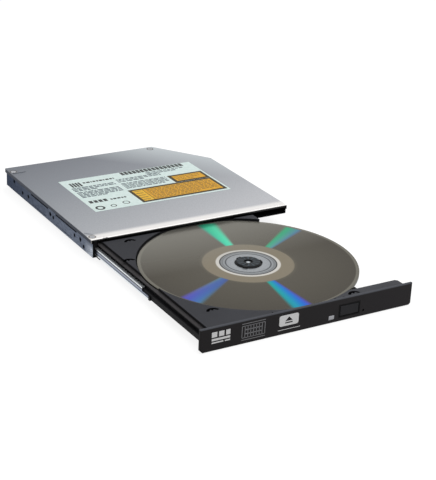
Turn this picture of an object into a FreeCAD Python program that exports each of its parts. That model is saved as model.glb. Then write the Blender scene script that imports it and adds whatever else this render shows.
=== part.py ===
import FreeCAD, Part
import math
import os

# A slim disc drive for a laptop, drawn with its tray fully out, in millimetres.
# X runs across the drive, Y from the bezel to the rear connector, Z up.
# The origin is the centre of the case's flat underside.

# Case
case_width = 128.0
case_depth = 126.1
case_height = 12.7
sheet = 0.6
case_fit = 0.05
flange_height = 2.4
side_lift = 2.0
side_shelf = 2.15
draw_run = 2.0
step_from_left = 107.0
wing_height = 5.1
corner_cut_x = 25.0
corner_cut_y = 35.1
lip_run = 1.2
lip_drop = 0.6
notch_from_left = 8.6
notch_width = 3.0
notch_depth = 0.9
side_vents_front = ((53.8, 6.3), (24.1, 6.4), (11.9, 4.2))
side_vents_rear = ((13.0, 8.4), (26.2, 5.4), (35.4, 6.3))
side_vent_radius = 0.6
side_grooves = ((22.0, 50.0, 9.2), (62.0, 86.0, 9.2), (28.0, 50.0, 3.2), (64.0, 84.0, 3.2))
groove_depth = 0.2
groove_width = 0.5
tab_width = 5.6
tab_depth = 5.8
tab_inset = 0.4
press_depth = 0.25
press_reach = 9.0
screw_from_rear = 7.7
screw_from_front = 4.4
tab_screw_x = 3.0
tab_screw_y = 3.6

# Travel and bezel
tray_travel = 119.6
bezel_gap = 0.3
bezel_plate = 1.6
bezel_bevel = 0.4
hook_width = 4.0
hook_reach = 3.0
hook_thickness = 1.0
hook_barb = 0.6
hook_from_left = ((18.0, 9.2), (58.0, 6.0), (99.0, 9.2))
bezel_corner = 1.6

# Rails and their guides, measured inwards from the outer face of the pan's wall
guide_web = 0.7
guide_lip = 0.4
guide_end = 4.1
guide_inset = 0.2
guide_fit = 0.3
guide_wall = 2.2
slide_fit = 0.25
rail_bottom = 3.4
rail_height = 4.2
rail_wall = 0.5
rail_depth = 2.0
rail_length = 105.0
rail_travel = 65.0
rail_hold = 1.8
rail_nick = 7.0
rail_stop = 1.5
rail_slots = (65.0, 84.0)
rail_slot_length = 12.0
rail_slot_half = 0.7
rail_fit = 0.2

# Disc and its recess
disc_from_left = 66.0
disc_radius = 60.0
disc_hole = 7.5
disc_thickness = 1.2
disc_rise = 1.1
recess_gap = 0.8
recess_floor = 7.6
disc_from_bezel = 62.4

# Tray
tray_end_gap = 1.5
tray_headroom = 0.3
tray_wall = 1.2
tray_floor = 1.0
tray_skin = 1.2
ledge_top = 9.6
ledge_thickness = 0.5
ledge_reach = 1.0
ledge_width = 2.2
side_gap = 0.35
front_wall_foot = 2.0
arm_end_gap = 3.3
arm_depth = 8.0
arm_lift = 0.4
arm_corner = 1.2
shelf_from_left = 94.8
shelf_depth = 7.0
under_plate_sheet = 0.4
under_plate_gap = 0.9
under_plate_right = 97.0
vent_starts = (34.0, 44.0)
vent_length = 6.0
vent_half = 6.0
tray_rear_bay = 31.1
rib_from_disc = (49.5, 41.5)
rib_thickness = 0.8
rear_step_run = 6.4
rear_step_drop = 1.0
rib_clearance = 2.5
boss_radius = 2.4
boss_from_left = ((12.0, 6.4), (94.0, 49.9), (10.5, 88.0), (68.0, 9.0))
finger_radius = 3.2
finger_width = 1.1
finger_depth = 0.6
finger_from_left = ((20.3, 112.2), (7.8, 88.6), (18.1, 16.9), (94.2, 2.6))
pip_radius = 0.45
pip_from_left = ((81.4, 2.7), (86.8, 2.5), (43.8, 3.0))

# Bezel front: button, lamp and pin hole, measured from the bezel's left end and foot
button_x = 87.9
button_z = 5.7
button_width = 11.4
button_height = 5.4
button_gap = 0.3
button_travel = 0.8
button_proud = 0.15
button_flange = 0.6
button_flange_thickness = 0.7
lamp_x = 76.9
lamp_z = 3.4
lamp_width = 2.4
lamp_height = 1.9
pin_hole_x = 96.9
pin_hole_z = 3.3
pin_hole_radius = 0.65

# Traverse, in its own plan: X' runs outwards from the spindle along the sled's travel
traverse_angle = 225.0
chassis_sheet = 0.8
chassis_drop = 0.4
chassis_back = -19.0
chassis_left = -25.5
chassis_right = 22.0
chassis_end = 66.0
chassis_tip = 13.0
motor_hole = 13.0
slot_half = 9.5
slot_end = 62.5
rod_radius = 0.8
rod_z = 3.65
rod_y = 19.5
rod_start = 9.5
rod_end = 60.0
rod_block = 1.5
rod_block_half = 1.5
rod_fit = 0.02
running_fit = 0.05
lens_radius_in = 24.0
sled_back = 14.5
sled_front = 29.0
sled_half = 12.0
sled_nose = 7.0
sled_foot = 2.3
sled_deck = 5.0
sled_top = 6.3
sled_upper_half = 8.0
sled_boss = 1.4
sled_boss_start = 15.5
sled_boss_end = 25.0
screw_y = -23.0
screw_radius = 1.0
screw_start = -6.0
screw_end = 57.5
stepper_radius = 2.6
stepper_length = 12.0
damper_radius = 2.6
damper_groove = 1.7
damper_places = ((-14.0, -16.5), (-14.0, 16.5), (61.0, -13.5), (61.0, 13.5))
opening_radius = 16.0
opening_half = 12.0
opening_end = 60.5

# Spindle
base_sheet = 0.6
base_foot = 2.0
base_half = 15.0
base_back = -16.0
base_front = 8.0
shaft_radius = 1.0
shaft_fit = 0.02
bearing_radius = 3.0
stator_radius = 9.5
stator_teeth = 9
rotor_sides = 36
rotor_radius = 12.0
rotor_wall = 0.5
rotor_foot = 2.9
turntable_radius = 14.0
turntable_thickness = 0.7
pad_inner = 10.5
pad_thickness = 0.4
hub_fit = 0.1
hub_height = 2.9
dish_radius = 2.4
dish_depth = 0.5
pawl_count = 3
pawl_width = 2.4
pawl_stem = 3.0
pawl_overhang = 0.5
pawl_fit = 0.12

# Lens
holder_length = 6.0
holder_width = 9.0
holder_height = 1.7
lens_radius = 2.0
lens_dome = 0.4
focus_travel = 0.4
focus_gap = 0.2

# Latch
latch_post_from_left = 100.0
latch_post_y = 10.0
latch_post_radius = 1.0
latch_post_height = 2.8
latch_swing = 18.0
latch_pivot = (-6.0, 9.6)
latch_plate = 0.8
latch_foot = 2.2
pin_radius = 1.0
pivot_post_radius = 1.4

# Boards in the case and on the tray
board_thickness = 1.0
board_rise = 1.0
board_from_left = 7.0
board_width = 90.0
board_depth = 24.0
board_from_rear = 5.1
seat_inset = 4.0
seat_radius = 1.6
board_notch = 9.0
chip_places = (
    (10.0, 4.0, 14.0, 14.0, 1.2),
    (29.0, 9.0, 8.0, 6.0, 1.0),
    (73.0, 8.0, 9.0, 9.0, 1.1),
    (57.5, 12.0, 7.0, 5.0, 1.0),
    (46.5, 12.0, 5.0, 6.5, 0.9),
    (83.5, 11.0, 3.2, 2.5, 1.2),
)
connector_from_left = 18.0
connector_width = 32.0
connector_gap = 0.2
connector_wall = 0.6
contact_depth = 5.0
contact_margin = 3.0
contact_pitch = 0.8
contact_slot = 0.35
tongue_half = 0.5
connector_depth = 9.1
connector_height = 3.6
flex_from_left = 56.0
flex_width = 20.0
flex_thickness = 0.2
flex_reach = 12.0
flex_fit = 0.05
socket_side = 1.5
board_slot = 0.5
tray_slot = 0.8
socket_from_edge = 1.0
socket_from_rear = 5.0
socket_depth = 4.0
socket_height = 1.4
tray_board_from_left = 72.0
tray_board_width = 21.0
tray_board_depth = 12.0
tray_board_thickness = 0.8
tray_board_foot = 3.4
peg_radius = 0.8
peg_shoulder = 0.7
peg_from_left = ((75.0, 12.0), (90.0, 12.0))

# Labels on the cover, measured from the case's centre line and front edge
label_from_left = 20.0
label_from_right = 17.0
label_front = 36.8
label_rear = 90.2
label_thickness = 0.1
panel_thickness = 0.06
panel_width = 57.8
panel_from_right = 18.2
panel_front = 38.6
panel_rear = 60.0
small_panel_width = 24.2
small_panel_rear = 72.5
panel_gap = 1.2

# Screws
screw_head = 1.6
screw_shank = 0.8
thread_fit = 0.02
mount_hole = 0.8
mount_spacing = 41.7
mount_from_front = 16.3
mount_z = 6.9
rear_hole_spacing = 30.0
rear_hole_from_left = 66.0
rear_hole_z = 9.2

# Places that follow from the sizes above
front = -case_depth / 2
rear = case_depth / 2
half = case_width / 2
left = -half
plate_under = case_height - sheet
pan_half = half - sheet - case_fit
step_x = left + step_from_left
corner_across = half - corner_cut_x
corner_along = case_depth - corner_cut_y
notch_x = left + notch_from_left
guide_length = case_depth - guide_end
rail_reach = rail_travel - rail_hold
disc_x = left + disc_from_left
tray_length = case_depth - tray_end_gap
arm_reach = half - arm_end_gap
shelf_left = left + shelf_from_left
under_plate_side = left + under_plate_right
boss_places = [(left + x, y) for x, y in boss_from_left]
finger_places = [(left + x, y) for x, y in finger_from_left]
pip_places = [(left + x, y) for x, y in pip_from_left]
hook_places = [(left + x, top) for x, top in hook_from_left]
peg_places = [(left + x, y) for x, y in peg_from_left]
latch_post_x = left + latch_post_from_left
board_left = left + board_from_left
board_right = board_left + board_width
board_rear = case_depth - board_from_rear
board_front = board_rear - board_depth
connector_left = left + connector_from_left
connector_right = connector_left + connector_width
flex_left = left + flex_from_left
tray_board_left = left + tray_board_from_left
tray_board_right = tray_board_left + tray_board_width
label_left = left + label_from_left
label_right = half - label_from_right
panel_right = half - panel_from_right
panel_left = panel_right - panel_width
small_panel_left = panel_right - small_panel_width
rear_hole_x = left + rear_hole_from_left
wing_floor = case_height - wing_height
bezel_back = front - tray_travel - bezel_gap
bezel_front = bezel_back - bezel_plate
tray_rear = bezel_back + tray_length
tray_top = case_height - lip_drop - sheet - tray_headroom
disc_y = bezel_back + disc_from_bezel
disc_z = recess_floor + disc_rise
floor_under = recess_floor - tray_floor
rail_top = rail_bottom + rail_height
chassis_top = floor_under - chassis_drop
chassis_foot = chassis_top - chassis_sheet
under_plate_foot = sheet + under_plate_gap
under_plate_top = under_plate_foot + under_plate_sheet
board_top = sheet + board_rise + board_thickness
tray_board_top = tray_board_foot + tray_board_thickness

# How far each face lies inside the outer face of the pan's wall
web_in = sheet + guide_web
rail_out = web_in + slide_fit
rail_in = rail_out + rail_depth
tongue_out = rail_out + rail_wall + rail_fit
lip_in = rail_in - 0.1
recess_wall_in = rail_in + 0.6
wall_in = recess_wall_in + 2.0
floor_in = rail_in + side_gap
ledge_in = recess_wall_in - ledge_reach
top_in = ledge_in + ledge_width


def vec(x, y, z):
    return FreeCAD.Vector(x, y, z)


def block(x0, x1, y0, y1, z0, z1):
    """A box between two corners."""
    return Part.makeBox(x1 - x0, y1 - y0, z1 - z0, vec(x0, y0, z0))


def rod(radius, length, x, y, z, direction=(0, 0, 1)):
    """A cylinder from a point along a direction."""
    return Part.makeCylinder(radius, length, vec(x, y, z), vec(*direction))


def slab(points, z0, z1):
    """A plan outline raised from z0 to z1."""
    corners = [vec(x, y, z0) for x, y in points]
    face = Part.Face(Part.makePolygon(corners + corners[:1]))
    return face.extrude(vec(0, 0, z1 - z0))


def bar(points, y0, y1):
    """A cross-section in X and Z, drawn out along Y."""
    corners = [vec(x, y0, z) for x, z in points]
    face = Part.Face(Part.makePolygon(corners + corners[:1]))
    return face.extrude(vec(0, y1 - y0, 0))


def strip(points, x0, x1):
    """A cross-section in Y and Z, drawn out along X."""
    corners = [vec(x0, y, z) for y, z in points]
    face = Part.Face(Part.makePolygon(corners + corners[:1]))
    return face.extrude(vec(x1 - x0, 0, 0))


def prism(radius, length, x, y, z, direction=(0, 0, 1), sides=12):
    """A small round feature drawn with flat sides, from a point along a direction."""
    angles = [2 * math.pi * i / sides for i in range(sides)]
    corners = [(radius * math.cos(a), radius * math.sin(a)) for a in angles]
    shape = slab(corners, 0, length)
    shape.Placement = FreeCAD.Placement(vec(x, y, z), FreeCAD.Rotation(vec(0, 0, 1), vec(*direction)))
    return shape


def ring(outer, inner, z0, z1, x=0.0, y=0.0):
    """A tube standing on z0."""
    return rod(outer, z1 - z0, x, y, z0).cut(rod(inner, z1 - z0, x, y, z0))


def joined(shapes):
    """Touching or crossing solids made one."""
    return shapes[0].multiFuse(shapes[1:]).removeSplitter()


def inset(points, distance):
    """A closed outline, anticlockwise, with every side moved inwards by a distance."""
    count = len(points)
    moved = []
    for i in range(count):
        (x0, y0), (x1, y1) = points[i], points[(i + 1) % count]
        length = math.hypot(x1 - x0, y1 - y0)
        nx, ny = -(y1 - y0) / length, (x1 - x0) / length
        moved.append((x0 + nx * distance, y0 + ny * distance, x1 - x0, y1 - y0))
    corners = []
    for i in range(count):
        ax, ay, adx, ady = moved[i - 1]
        bx, by, bdx, bdy = moved[i]
        cross = adx * bdy - ady * bdx
        t = ((bx - ax) * bdy - (by - ay) * bdx) / cross
        corners.append((ax + adx * t, ay + ady * t))
    return corners


def on_side(side, inwards):
    """The X of a face that lies so far inside the left or the right wall of the deep part."""
    return -pan_half + inwards if side == "left" else step_x - inwards


def between(side, a, b):
    """The two X values of on_side, lower one first."""
    return sorted((on_side(side, a), on_side(side, b)))


def placed(shape):
    """A piece of the traverse, turned to the sled's direction and moved to the spindle."""
    turned = shape.copy()
    turned.rotate(vec(0, 0, 0), vec(0, 0, 1), traverse_angle)
    turned.translate(vec(disc_x, disc_y, 0))
    return turned


def case_plan(distance=0.0, mouth=0.0):
    """The case's outline from above, moved inwards, with its front edge moved out by mouth."""
    outline = [
        (-half, front),
        (half, front),
        (half, front + corner_along),
        (corner_across, rear),
        (-half, rear),
    ]
    outline = inset(outline, distance)
    left, right = outline[0], outline[1]
    return [(left[0], front - mouth), (right[0], front - mouth)] + outline[2:]


def diagonal_slab(distance, z0, z1, shift=0.0):
    """Everything beyond the cut corner's line, moved inwards by a distance and along Y by shift."""
    far = case_width
    line = inset([(half, front + corner_along), (corner_across, rear), (-half, rear), (-half, front)], distance)
    (x0, y0), (x1, y1) = line[0], line[1]
    dx, dy = x1 - x0, y1 - y0
    points = [(x0 - dx, y0 - dy + shift), (x0 - dx + far, y0 - dy + shift)]
    points += [(x1 + dx + far, y1 + dy + shift), (x1 + dx, y1 + dy + shift)]
    return slab(points, z0, z1)


# Case


def pan_section(distance=0.0, rise=0.0):
    """The pan's cross-section from the front: lifted shelf, drawn floor, step and wing."""
    section = [
        (-pan_half, plate_under),
        (-pan_half, side_lift),
        (-pan_half + side_shelf, side_lift),
        (-pan_half + side_shelf + draw_run, 0.0),
        (step_x - draw_run, 0.0),
        (step_x, side_lift),
        (step_x, wing_floor),
        (pan_half, wing_floor),
        (pan_half, plate_under),
    ]
    section = inset(section, distance)
    section[0] = (section[0][0], plate_under + rise)
    section[-1] = (section[-1][0], plate_under + rise)
    return section


def base_pan():
    """Pressed pan with its side, rear and slanted walls, holes and seats."""
    margin = sheet + case_fit
    outside = bar(pan_section(), front, rear).common(slab(case_plan(margin), -1, case_height))
    hollow = bar(pan_section(sheet, 1.0), front - 1, rear)
    hollow = hollow.common(slab(case_plan(margin + sheet, 1.0), -1, case_height + 1))
    pan = outside.cut(hollow)
    seats = [prism(seat_radius, board_rise, x, y, sheet) for x, y in board_seats()]
    tab_right = corner_across - tab_inset
    tab_rear = rear - margin
    tab = block(
        tab_right - tab_width, tab_right, tab_rear - tab_depth, tab_rear, plate_under - sheet, plate_under
    )
    tab = tab.cut(diagonal_slab(margin, plate_under - 1, plate_under + 1))
    pan = joined([pan, tab] + seats)
    holes = [rod(mount_hole, 3, -half - 1, y, mount_z, (1, 0, 0)) for y in side_mount_places()]
    holes += [rod(mount_hole, 4, x, rear - 3, rear_hole_z, (0, 1, 0)) for x in rear_mount_places()]
    vents = [(front + y, z) for y, z in side_vents_front] + [(rear - y, z) for y, z in side_vents_rear]
    holes += [prism(side_vent_radius, 3, -half - 1, y, z, (1, 0, 0), 8) for y, z in vents]
    x0, x1 = connector_left - connector_gap, connector_right + connector_gap
    holes.append(block(x0, x1, rear - 3, rear + 1, board_top - connector_gap, connector_top() + connector_gap))
    for hole in holes:
        pan = pan.cut(hole)
    grooves = [
        block(-pan_half - 1, -pan_half + groove_depth, front + y0, front + y1, z, z + groove_width)
        for y0, y1, z in side_grooves
    ]
    return pan.cut(Part.makeCompound(grooves))


def connector_top():
    return board_top + connector_height


def board_seats():
    """Screw places of the main board."""
    xs = (board_left + seat_inset, board_right - seat_inset)
    ys = (front + board_front + seat_inset, front + board_rear - seat_inset)
    return [(x, y) for x in xs for y in ys]


def side_mount_places():
    return [front + mount_from_front, front + mount_from_front + mount_spacing]


def rear_mount_places():
    return [rear_hole_x, rear_hole_x + rear_hole_spacing]


def cover_screw_places():
    """Two screws over the left guide and one over the tab by the cut corner."""
    guide_middle = (on_side("left", sheet) + on_side("left", sheet + guide_wall)) / 2
    return [
        (guide_middle, front + screw_from_front),
        (guide_middle, rear - screw_from_rear),
        (corner_across - tab_screw_x, rear - tab_screw_y),
    ]


def screw_cone(x, y, grow=0.0):
    """Countersunk head, wide at the lid's top, with 16 flat sides."""
    sides = 16
    loops = []
    for radius, z in ((screw_shank + grow, plate_under), (screw_head + grow, case_height)):
        angles = [2 * math.pi * i / sides for i in range(sides + 1)]
        corners = [vec(x + radius * math.cos(a), y + radius * math.sin(a), z) for a in angles]
        loops.append(Part.makePolygon(corners))
    return Part.makeLoft(loops, True, True)


def top_cover():
    """Lid with a short flange round three sides and the cut corner, and a bevelled front lip."""
    foot = case_height - flange_height
    lid = slab(case_plan(), foot, case_height)
    lid = lid.cut(slab(case_plan(sheet, 1.0), foot - 1, plate_under))
    lip = strip(
        [
            (front - 1, case_height - lip_drop),
            (front, case_height - lip_drop),
            (front + lip_run, case_height),
            (front + lip_run, case_height + 1),
            (front - 1, case_height + 1),
        ],
        -half - 1,
        half + 1,
    )
    under = strip(
        [
            (front, plate_under - lip_drop),
            (front, plate_under),
            (front + lip_run + 0.2, plate_under),
        ],
        -half + sheet,
        half - sheet,
    )
    lid = joined([lid, under]).cut(lip)
    x0, x1 = notch_x - notch_width / 2, notch_x + notch_width / 2
    lid = lid.cut(block(x0, x1, front - 1, front + notch_depth, plate_under - 1, case_height + 1))
    for x, y in cover_screw_places():
        lid = lid.cut(screw_cone(x, y, thread_fit))
    for corner in pressed_corners():
        lid = lid.cut(slab(corner, case_height - press_depth, case_height + 1))
    return lid


def pressed_corners():
    """Triangles pressed a little into the lid, beside the screws at its left corners."""
    x, reach = left + sheet, press_reach
    y0, y1 = front + screw_from_front + screw_head + 1, rear - screw_from_rear - screw_head - 1
    return [
        [(x, y0), (x + reach / 2, y0), (x, y0 + reach / 2)],
        [(x, y1), (x, y1 - reach), (x + reach, y1)],
    ]


def cover_screws():
    """Countersunk screws, heads flush with the lid."""
    return Part.makeCompound([screw_cone(x, y) for x, y in cover_screw_places()])


def label_sheet():
    """Paper label stuck on the lid."""
    top = case_height + label_thickness
    return block(label_left, label_right, front + label_front, front + label_rear, case_height, top)


def label_panels():
    """Two stickers on the label's right half."""
    z0 = case_height + label_thickness
    z1 = z0 + panel_thickness
    y0 = front + panel_rear + panel_gap
    large = block(panel_left, panel_right, front + panel_front, front + panel_rear, z0, z1)
    small = block(small_panel_left, panel_right, y0, front + small_panel_rear, z0, z1)
    return Part.makeCompound([large, small])


def slant_inside(x):
    """Where the slanted wall's inner face lies along the drive, at a place across it."""
    slope = corner_cut_y / corner_cut_x
    inwards = 2 * sheet + case_fit
    return rear - slope * (x - corner_across) - inwards * math.hypot(1, slope)


def guide(side):
    """Plastic channel that holds a rail; the left one also reaches up to the cover."""
    floor = side_lift + sheet
    lip_z = rail_top + rail_fit
    y0, y1 = front + guide_inset, front + guide_length
    if side == "right":
        y1 = slant_inside(max(between(side, sheet, web_in))) - guide_fit
    web = block(*between(side, sheet, web_in), y0, y1, floor, lip_z + guide_lip)
    low = block(*between(side, sheet, lip_in), y0, y1, floor, rail_bottom - rail_fit)
    high = block(*between(side, sheet, lip_in), y0, y1, lip_z, lip_z + guide_lip)
    parts = [web, low, high]
    if side == "left":
        parts.append(block(*between(side, sheet, sheet + guide_wall), y0, y1, lip_z, plate_under))
    shape = joined(parts)
    if side == "left":
        for y in side_mount_places():
            shape = shape.cut(prism(mount_hole + 0.3, 3, -half, y, mount_z, (1, 0, 0)))
    return shape


def rail(side):
    """Folded steel channel that runs about half as far as the tray, with slots and a nicked front end."""
    y0 = front - rail_reach
    y1 = y0 + rail_length
    web = block(*between(side, rail_out, rail_out + rail_wall), y0, y1, rail_bottom, rail_top)
    low = block(*between(side, rail_out, rail_in), y0, y1, rail_bottom, rail_bottom + rail_wall)
    high = block(*between(side, rail_out, rail_in), y0 + rail_nick, y1, rail_top - rail_wall, rail_top)
    shape = joined([web, low, high])
    x0, x1 = between(side, rail_out - 0.5, rail_out + rail_wall + 0.1)
    middle = (rail_bottom + rail_top) / 2
    for start in rail_slots:
        end = y0 + start + rail_slot_length
        slot = block(x0, x1, y0 + start, end, middle - rail_slot_half, middle + rail_slot_half)
        shape = shape.cut(slot)
    return shape.cut(block(x0, x1, y0 - 1, y0 + rail_nick, middle, rail_top + 1))


def rail_stop_clip(side):
    """Plastic stop on the rail's nicked front end, with the same section."""
    y1 = front - rail_reach
    y0 = y1 - rail_stop
    middle = (rail_bottom + rail_top) / 2
    web = block(*between(side, rail_out, rail_out + rail_wall), y0, y1, rail_bottom, middle)
    foot = block(*between(side, rail_out, rail_in), y0, y1, rail_bottom, rail_bottom + rail_wall)
    return joined([web, foot])


def latch_post():
    """Riveted post in the pan's floor that the latch lever hooks."""
    x, y = latch_post_x, front + latch_post_y
    stem = rod(latch_post_radius, latch_post_height, x, y, sheet)
    return joined([stem, prism(latch_post_radius + 0.7, 0.3, x, y, sheet)])


# Boards in the case


def main_board():
    """Board on the pan's floor behind the traverse's reach."""
    y0, z = front + board_front, sheet + board_rise
    board = block(board_left, board_right, y0, front + board_rear, z, z + board_thickness)
    return board.cut(block(board_right - board_notch, board_right + 1, y0 - 1, y0 + 1, z - 1, z + 2))


def board_chips():
    """Packages and small parts on the board."""
    x0, y0, z = board_left, front + board_front, board_top
    chips = [block(x0 + x, x0 + x + w, y0 + y, y0 + y + d, z, z + h) for x, y, w, d, h in chip_places]
    return Part.makeCompound(chips)


def rear_connector():
    """Shrouded edge connector at the rear, with its row of contacts on a tongue."""
    x0, x1, z0, z1 = connector_left, connector_right, board_top, connector_top()
    wall, deep, middle = connector_wall, rear - contact_depth, (board_top + connector_top()) / 2
    body = block(x0, x1, rear - connector_depth, rear, z0, z1)
    body = body.cut(block(x0 + wall, x1 - wall, deep, rear + 1, z0 + wall, z1 - wall))
    edge = contact_margin - wall
    tongue = block(x0 + edge, x1 - edge, deep, rear - wall, middle - tongue_half, middle + tongue_half)
    shape = joined([body, tongue])
    slots = []
    count = int((connector_width - 2 * contact_margin) / contact_pitch)
    for i in range(count):
        x = x0 + contact_margin + i * contact_pitch
        slots.append(block(x, x + contact_slot, deep + 0.5, rear, middle + contact_slot, middle + 1))
    return shape.cut(Part.makeCompound(slots))


def socket(y0, y1, z0, z1, slot_z):
    """Flat-cable socket with a slot through its front."""
    right = flex_left + flex_width
    body = block(flex_left - socket_side, right + socket_side, y0, y1, z0, z1)
    gap = flex_thickness / 2 + flex_fit
    slot = block(flex_left - flex_fit, right + flex_fit, y0 - 1, y1 - 1, slot_z - gap, slot_z + gap)
    return body.cut(slot)


def board_flex_socket():
    """Socket at the board's front edge."""
    y0 = front + board_front + socket_from_edge
    return socket(y0, y0 + socket_depth, board_top, board_top + socket_height, board_top + board_slot)


def tray_flex_socket():
    """Socket under the tray's rear floor, its mouth towards the bezel."""
    y1 = tray_rear - socket_from_rear
    return socket(y1 - socket_depth, y1, floor_under - socket_height, floor_under, floor_under - tray_slot)


def ribbon(line, thickness, x0, x1):
    """A flat strip of even thickness along a bent line in Y and Z."""

    def normal(a, b):
        length = math.hypot(b[0] - a[0], b[1] - a[1])
        return (a[1] - b[1]) / length, (b[0] - a[0]) / length

    edges = []
    for side in (thickness / 2, -thickness / 2):
        edge = []
        for i, (y, z) in enumerate(line):
            n1 = normal(line[max(i - 1, 0)], line[max(i, 1)])
            n2 = normal(line[min(i, len(line) - 2)], line[min(i + 1, len(line) - 1)])
            k = side / (1 + n1[0] * n2[0] + n1[1] * n2[1])
            edge.append((y + k * (n1[0] + n2[0]), z + k * (n1[1] + n2[1])))
        edges.append(edge)
    return strip(edges[0] + edges[1][::-1], x0, x1)


def flex_cable():
    """Flat cable: from the board's socket down to the floor, forward, and round a bend up to the tray."""
    board_end = front + board_front + socket_from_edge + socket_depth - 1.2
    board_z = board_top + board_slot
    tray_z = floor_under - tray_slot
    tray_end = tray_rear - socket_from_rear - 1.3
    floor_z = sheet + flex_thickness / 2
    bend = (tray_z - floor_z) / 2
    bend_y = tray_end - flex_reach
    line = [(board_end, board_z), (front + board_front - 1.5, board_z), (front + board_front - 5.0, floor_z)]
    for i in range(9):
        angle = math.radians(-90 - 180 * i / 8)
        line.append((bend_y + bend * math.cos(angle), floor_z + bend + bend * math.sin(angle)))
    line.append((tray_end, tray_z))
    return ribbon(line, flex_thickness, flex_left, flex_left + flex_width)


# Tray


def tray_plan_x():
    return on_side("left", recess_wall_in), on_side("right", floor_in)


def button_centre():
    return -half + button_x, button_z


def tray_frame():
    """Moulded tray: disc recess, hollow corners, side tongues, front wall and the arm at its right."""
    y0, y1 = bezel_back, tray_rear
    x0, x1 = tray_plan_x()
    recess_radius = disc_radius + recess_gap
    left_top = on_side("left", top_in)
    floor = block(x0, x1, y0, y1, floor_under, recess_floor)
    rim = block(left_top, x1, y0, y1, floor_under, tray_top)
    arm = slab(arm_plan(x1 - 1, y0), wing_floor + sheet + arm_lift, tray_top)
    solid = joined([floor, rim, arm])
    skin_under = tray_top - tray_skin
    socket_left, socket_right = flex_left - rib_clearance, flex_left + flex_width + rib_clearance
    inner_left, inner_right = left_top + tray_wall, x1 - tray_wall
    pocket = block(inner_left, inner_right, y0 + tray_wall, y1 - tray_wall, floor_under - 1, skin_under)
    pocket = pocket.cut(rod(recess_radius + tray_wall, tray_top + 2, disc_x, disc_y, -1))
    pocket = pocket.cut(block(socket_left, socket_right, disc_y, y1, floor_under - 1, skin_under))
    solid = solid.cut(slab(inset(arm_plan(x1 - 1, y0), tray_wall), 0, skin_under)).cut(pocket)
    step_y = y1 - rear_step_run
    step = block(left_top, x1, step_y - tray_wall, y1, skin_under - rear_step_drop, tray_top)
    solid = joined([solid, step])
    solid = solid.cut(block(left_top - 1, x1 + 1, step_y, y1 + 1, tray_top - rear_step_drop, tray_top + 1))
    back = y0 + arm_depth
    solid = solid.cut(block(shelf_left, x1 + 1, back, back + shelf_depth, recess_floor, case_height))
    shelf = block(shelf_left, x1, back - tray_wall, back + shelf_depth, floor_under, recess_floor)
    shelf = joined([shelf, block(shelf_left, x1, back - tray_wall, back, floor_under, skin_under)])
    left_wall = on_side("left", wall_in)
    ledge_foot = ledge_top - ledge_thickness
    tongue_low = rail_bottom + rail_wall + rail_fit
    tongue_high = rail_top - rail_wall - rail_fit
    left_side = bar(
        [
            (left_wall, recess_floor),
            (left_top + 0.4, recess_floor),
            (left_top + 0.4, skin_under - rear_step_drop),
            (left_top, skin_under - rear_step_drop),
            (left_top, ledge_top),
            (on_side("left", ledge_in), ledge_top),
            (on_side("left", ledge_in), ledge_foot),
            (x0, ledge_foot),
            (x0, tongue_high),
            (on_side("left", tongue_out), tongue_high),
            (on_side("left", tongue_out), tongue_low),
            (left_wall, tongue_low),
        ],
        y0,
        y1,
    )
    inner = on_side("right", wall_in - 0.7)
    tongue = block(inner, on_side("right", tongue_out), y0, y1, tongue_low, tongue_high)
    right_side = joined([tongue, block(inner, x1, y0, y1, tongue_low, recess_floor)])
    front_wall = block(x0, x1, y0, y0 + tray_wall, front_wall_foot, recess_floor)
    low_wall = block(x0, x0 + tray_wall, y0, y1 - tray_rear_bay, under_plate_top, tongue_low)
    z = under_plate_top
    bosses = [prism(boss_radius, boss_top(x, y) - z, x, y0 + y, z) for x, y in boss_places]
    z = tray_board_top
    bosses += [prism(peg_radius + peg_shoulder, floor_under - z, x, y0 + y, z) for x, y in peg_places]
    bosses += [prism(peg_radius, 2.0, x, y0 + y, tray_board_foot - 0.3) for x, y in peg_places]
    z = latch_foot + latch_plate
    post = prism(pivot_post_radius, floor_under - z, *pivot_place(), z)
    ends = ((x0 + 4, socket_left), (socket_right, x1 - 4))
    rib_ys = [disc_y + y for y in rib_from_disc]
    rear_ribs = [
        block(a, b, y, y + rib_thickness, floor_under - 1.0, floor_under) for y in rib_ys for a, b in ends
    ]
    solid = joined([solid, shelf, left_side, right_side, front_wall, low_wall, post] + bosses + rear_ribs)
    solid = solid.cut(rod(recess_radius, tray_top, disc_x, disc_y, recess_floor))
    solid = solid.cut(rod(pin_radius, floor_under - 1 - latch_foot, *pivot_place(), latch_foot))
    solid = solid.cut(traverse_opening())
    solid = solid.cut(diagonal_slab(sheet * 2 + case_fit + 0.8, 0, case_height, -tray_travel))
    return tray_cuts(solid)


def arm_plan(x0, y0):
    """Outline of the arm behind the bezel's right end, its rear corner cut."""
    return [
        (x0, y0),
        (arm_reach, y0),
        (arm_reach, y0 + arm_depth - arm_corner),
        (arm_reach - arm_corner, y0 + arm_depth),
        (x0, y0 + arm_depth),
    ]


def boss_top(x, y):
    """A boss ends under the recess floor, or under the tray's top in the corners."""
    outside = math.hypot(x - disc_x, y - disc_from_bezel) > disc_radius + recess_gap + boss_radius
    return tray_top - tray_skin if outside else floor_under


def traverse_opening():
    """Keyhole through the recess floor: round over the turntable, straight over the sled's path."""
    z0, z1 = floor_under - 1, recess_floor + 1
    round_part = rod(opening_radius, z1 - z0, 0, 0, z0)
    slot = block(0, opening_end - opening_half / 2, -opening_half, opening_half, z0, z1)
    tip = slab(
        [
            (opening_end - opening_half / 2 - 1, -opening_half),
            (opening_end - opening_half / 2, -opening_half),
            (opening_end, -opening_half / 2),
            (opening_end, opening_half / 2),
            (opening_end - opening_half / 2, opening_half),
            (opening_end - opening_half / 2 - 1, opening_half),
        ],
        z0,
        z1,
    )
    return placed(joined([round_part, slot, tip]))


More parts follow.
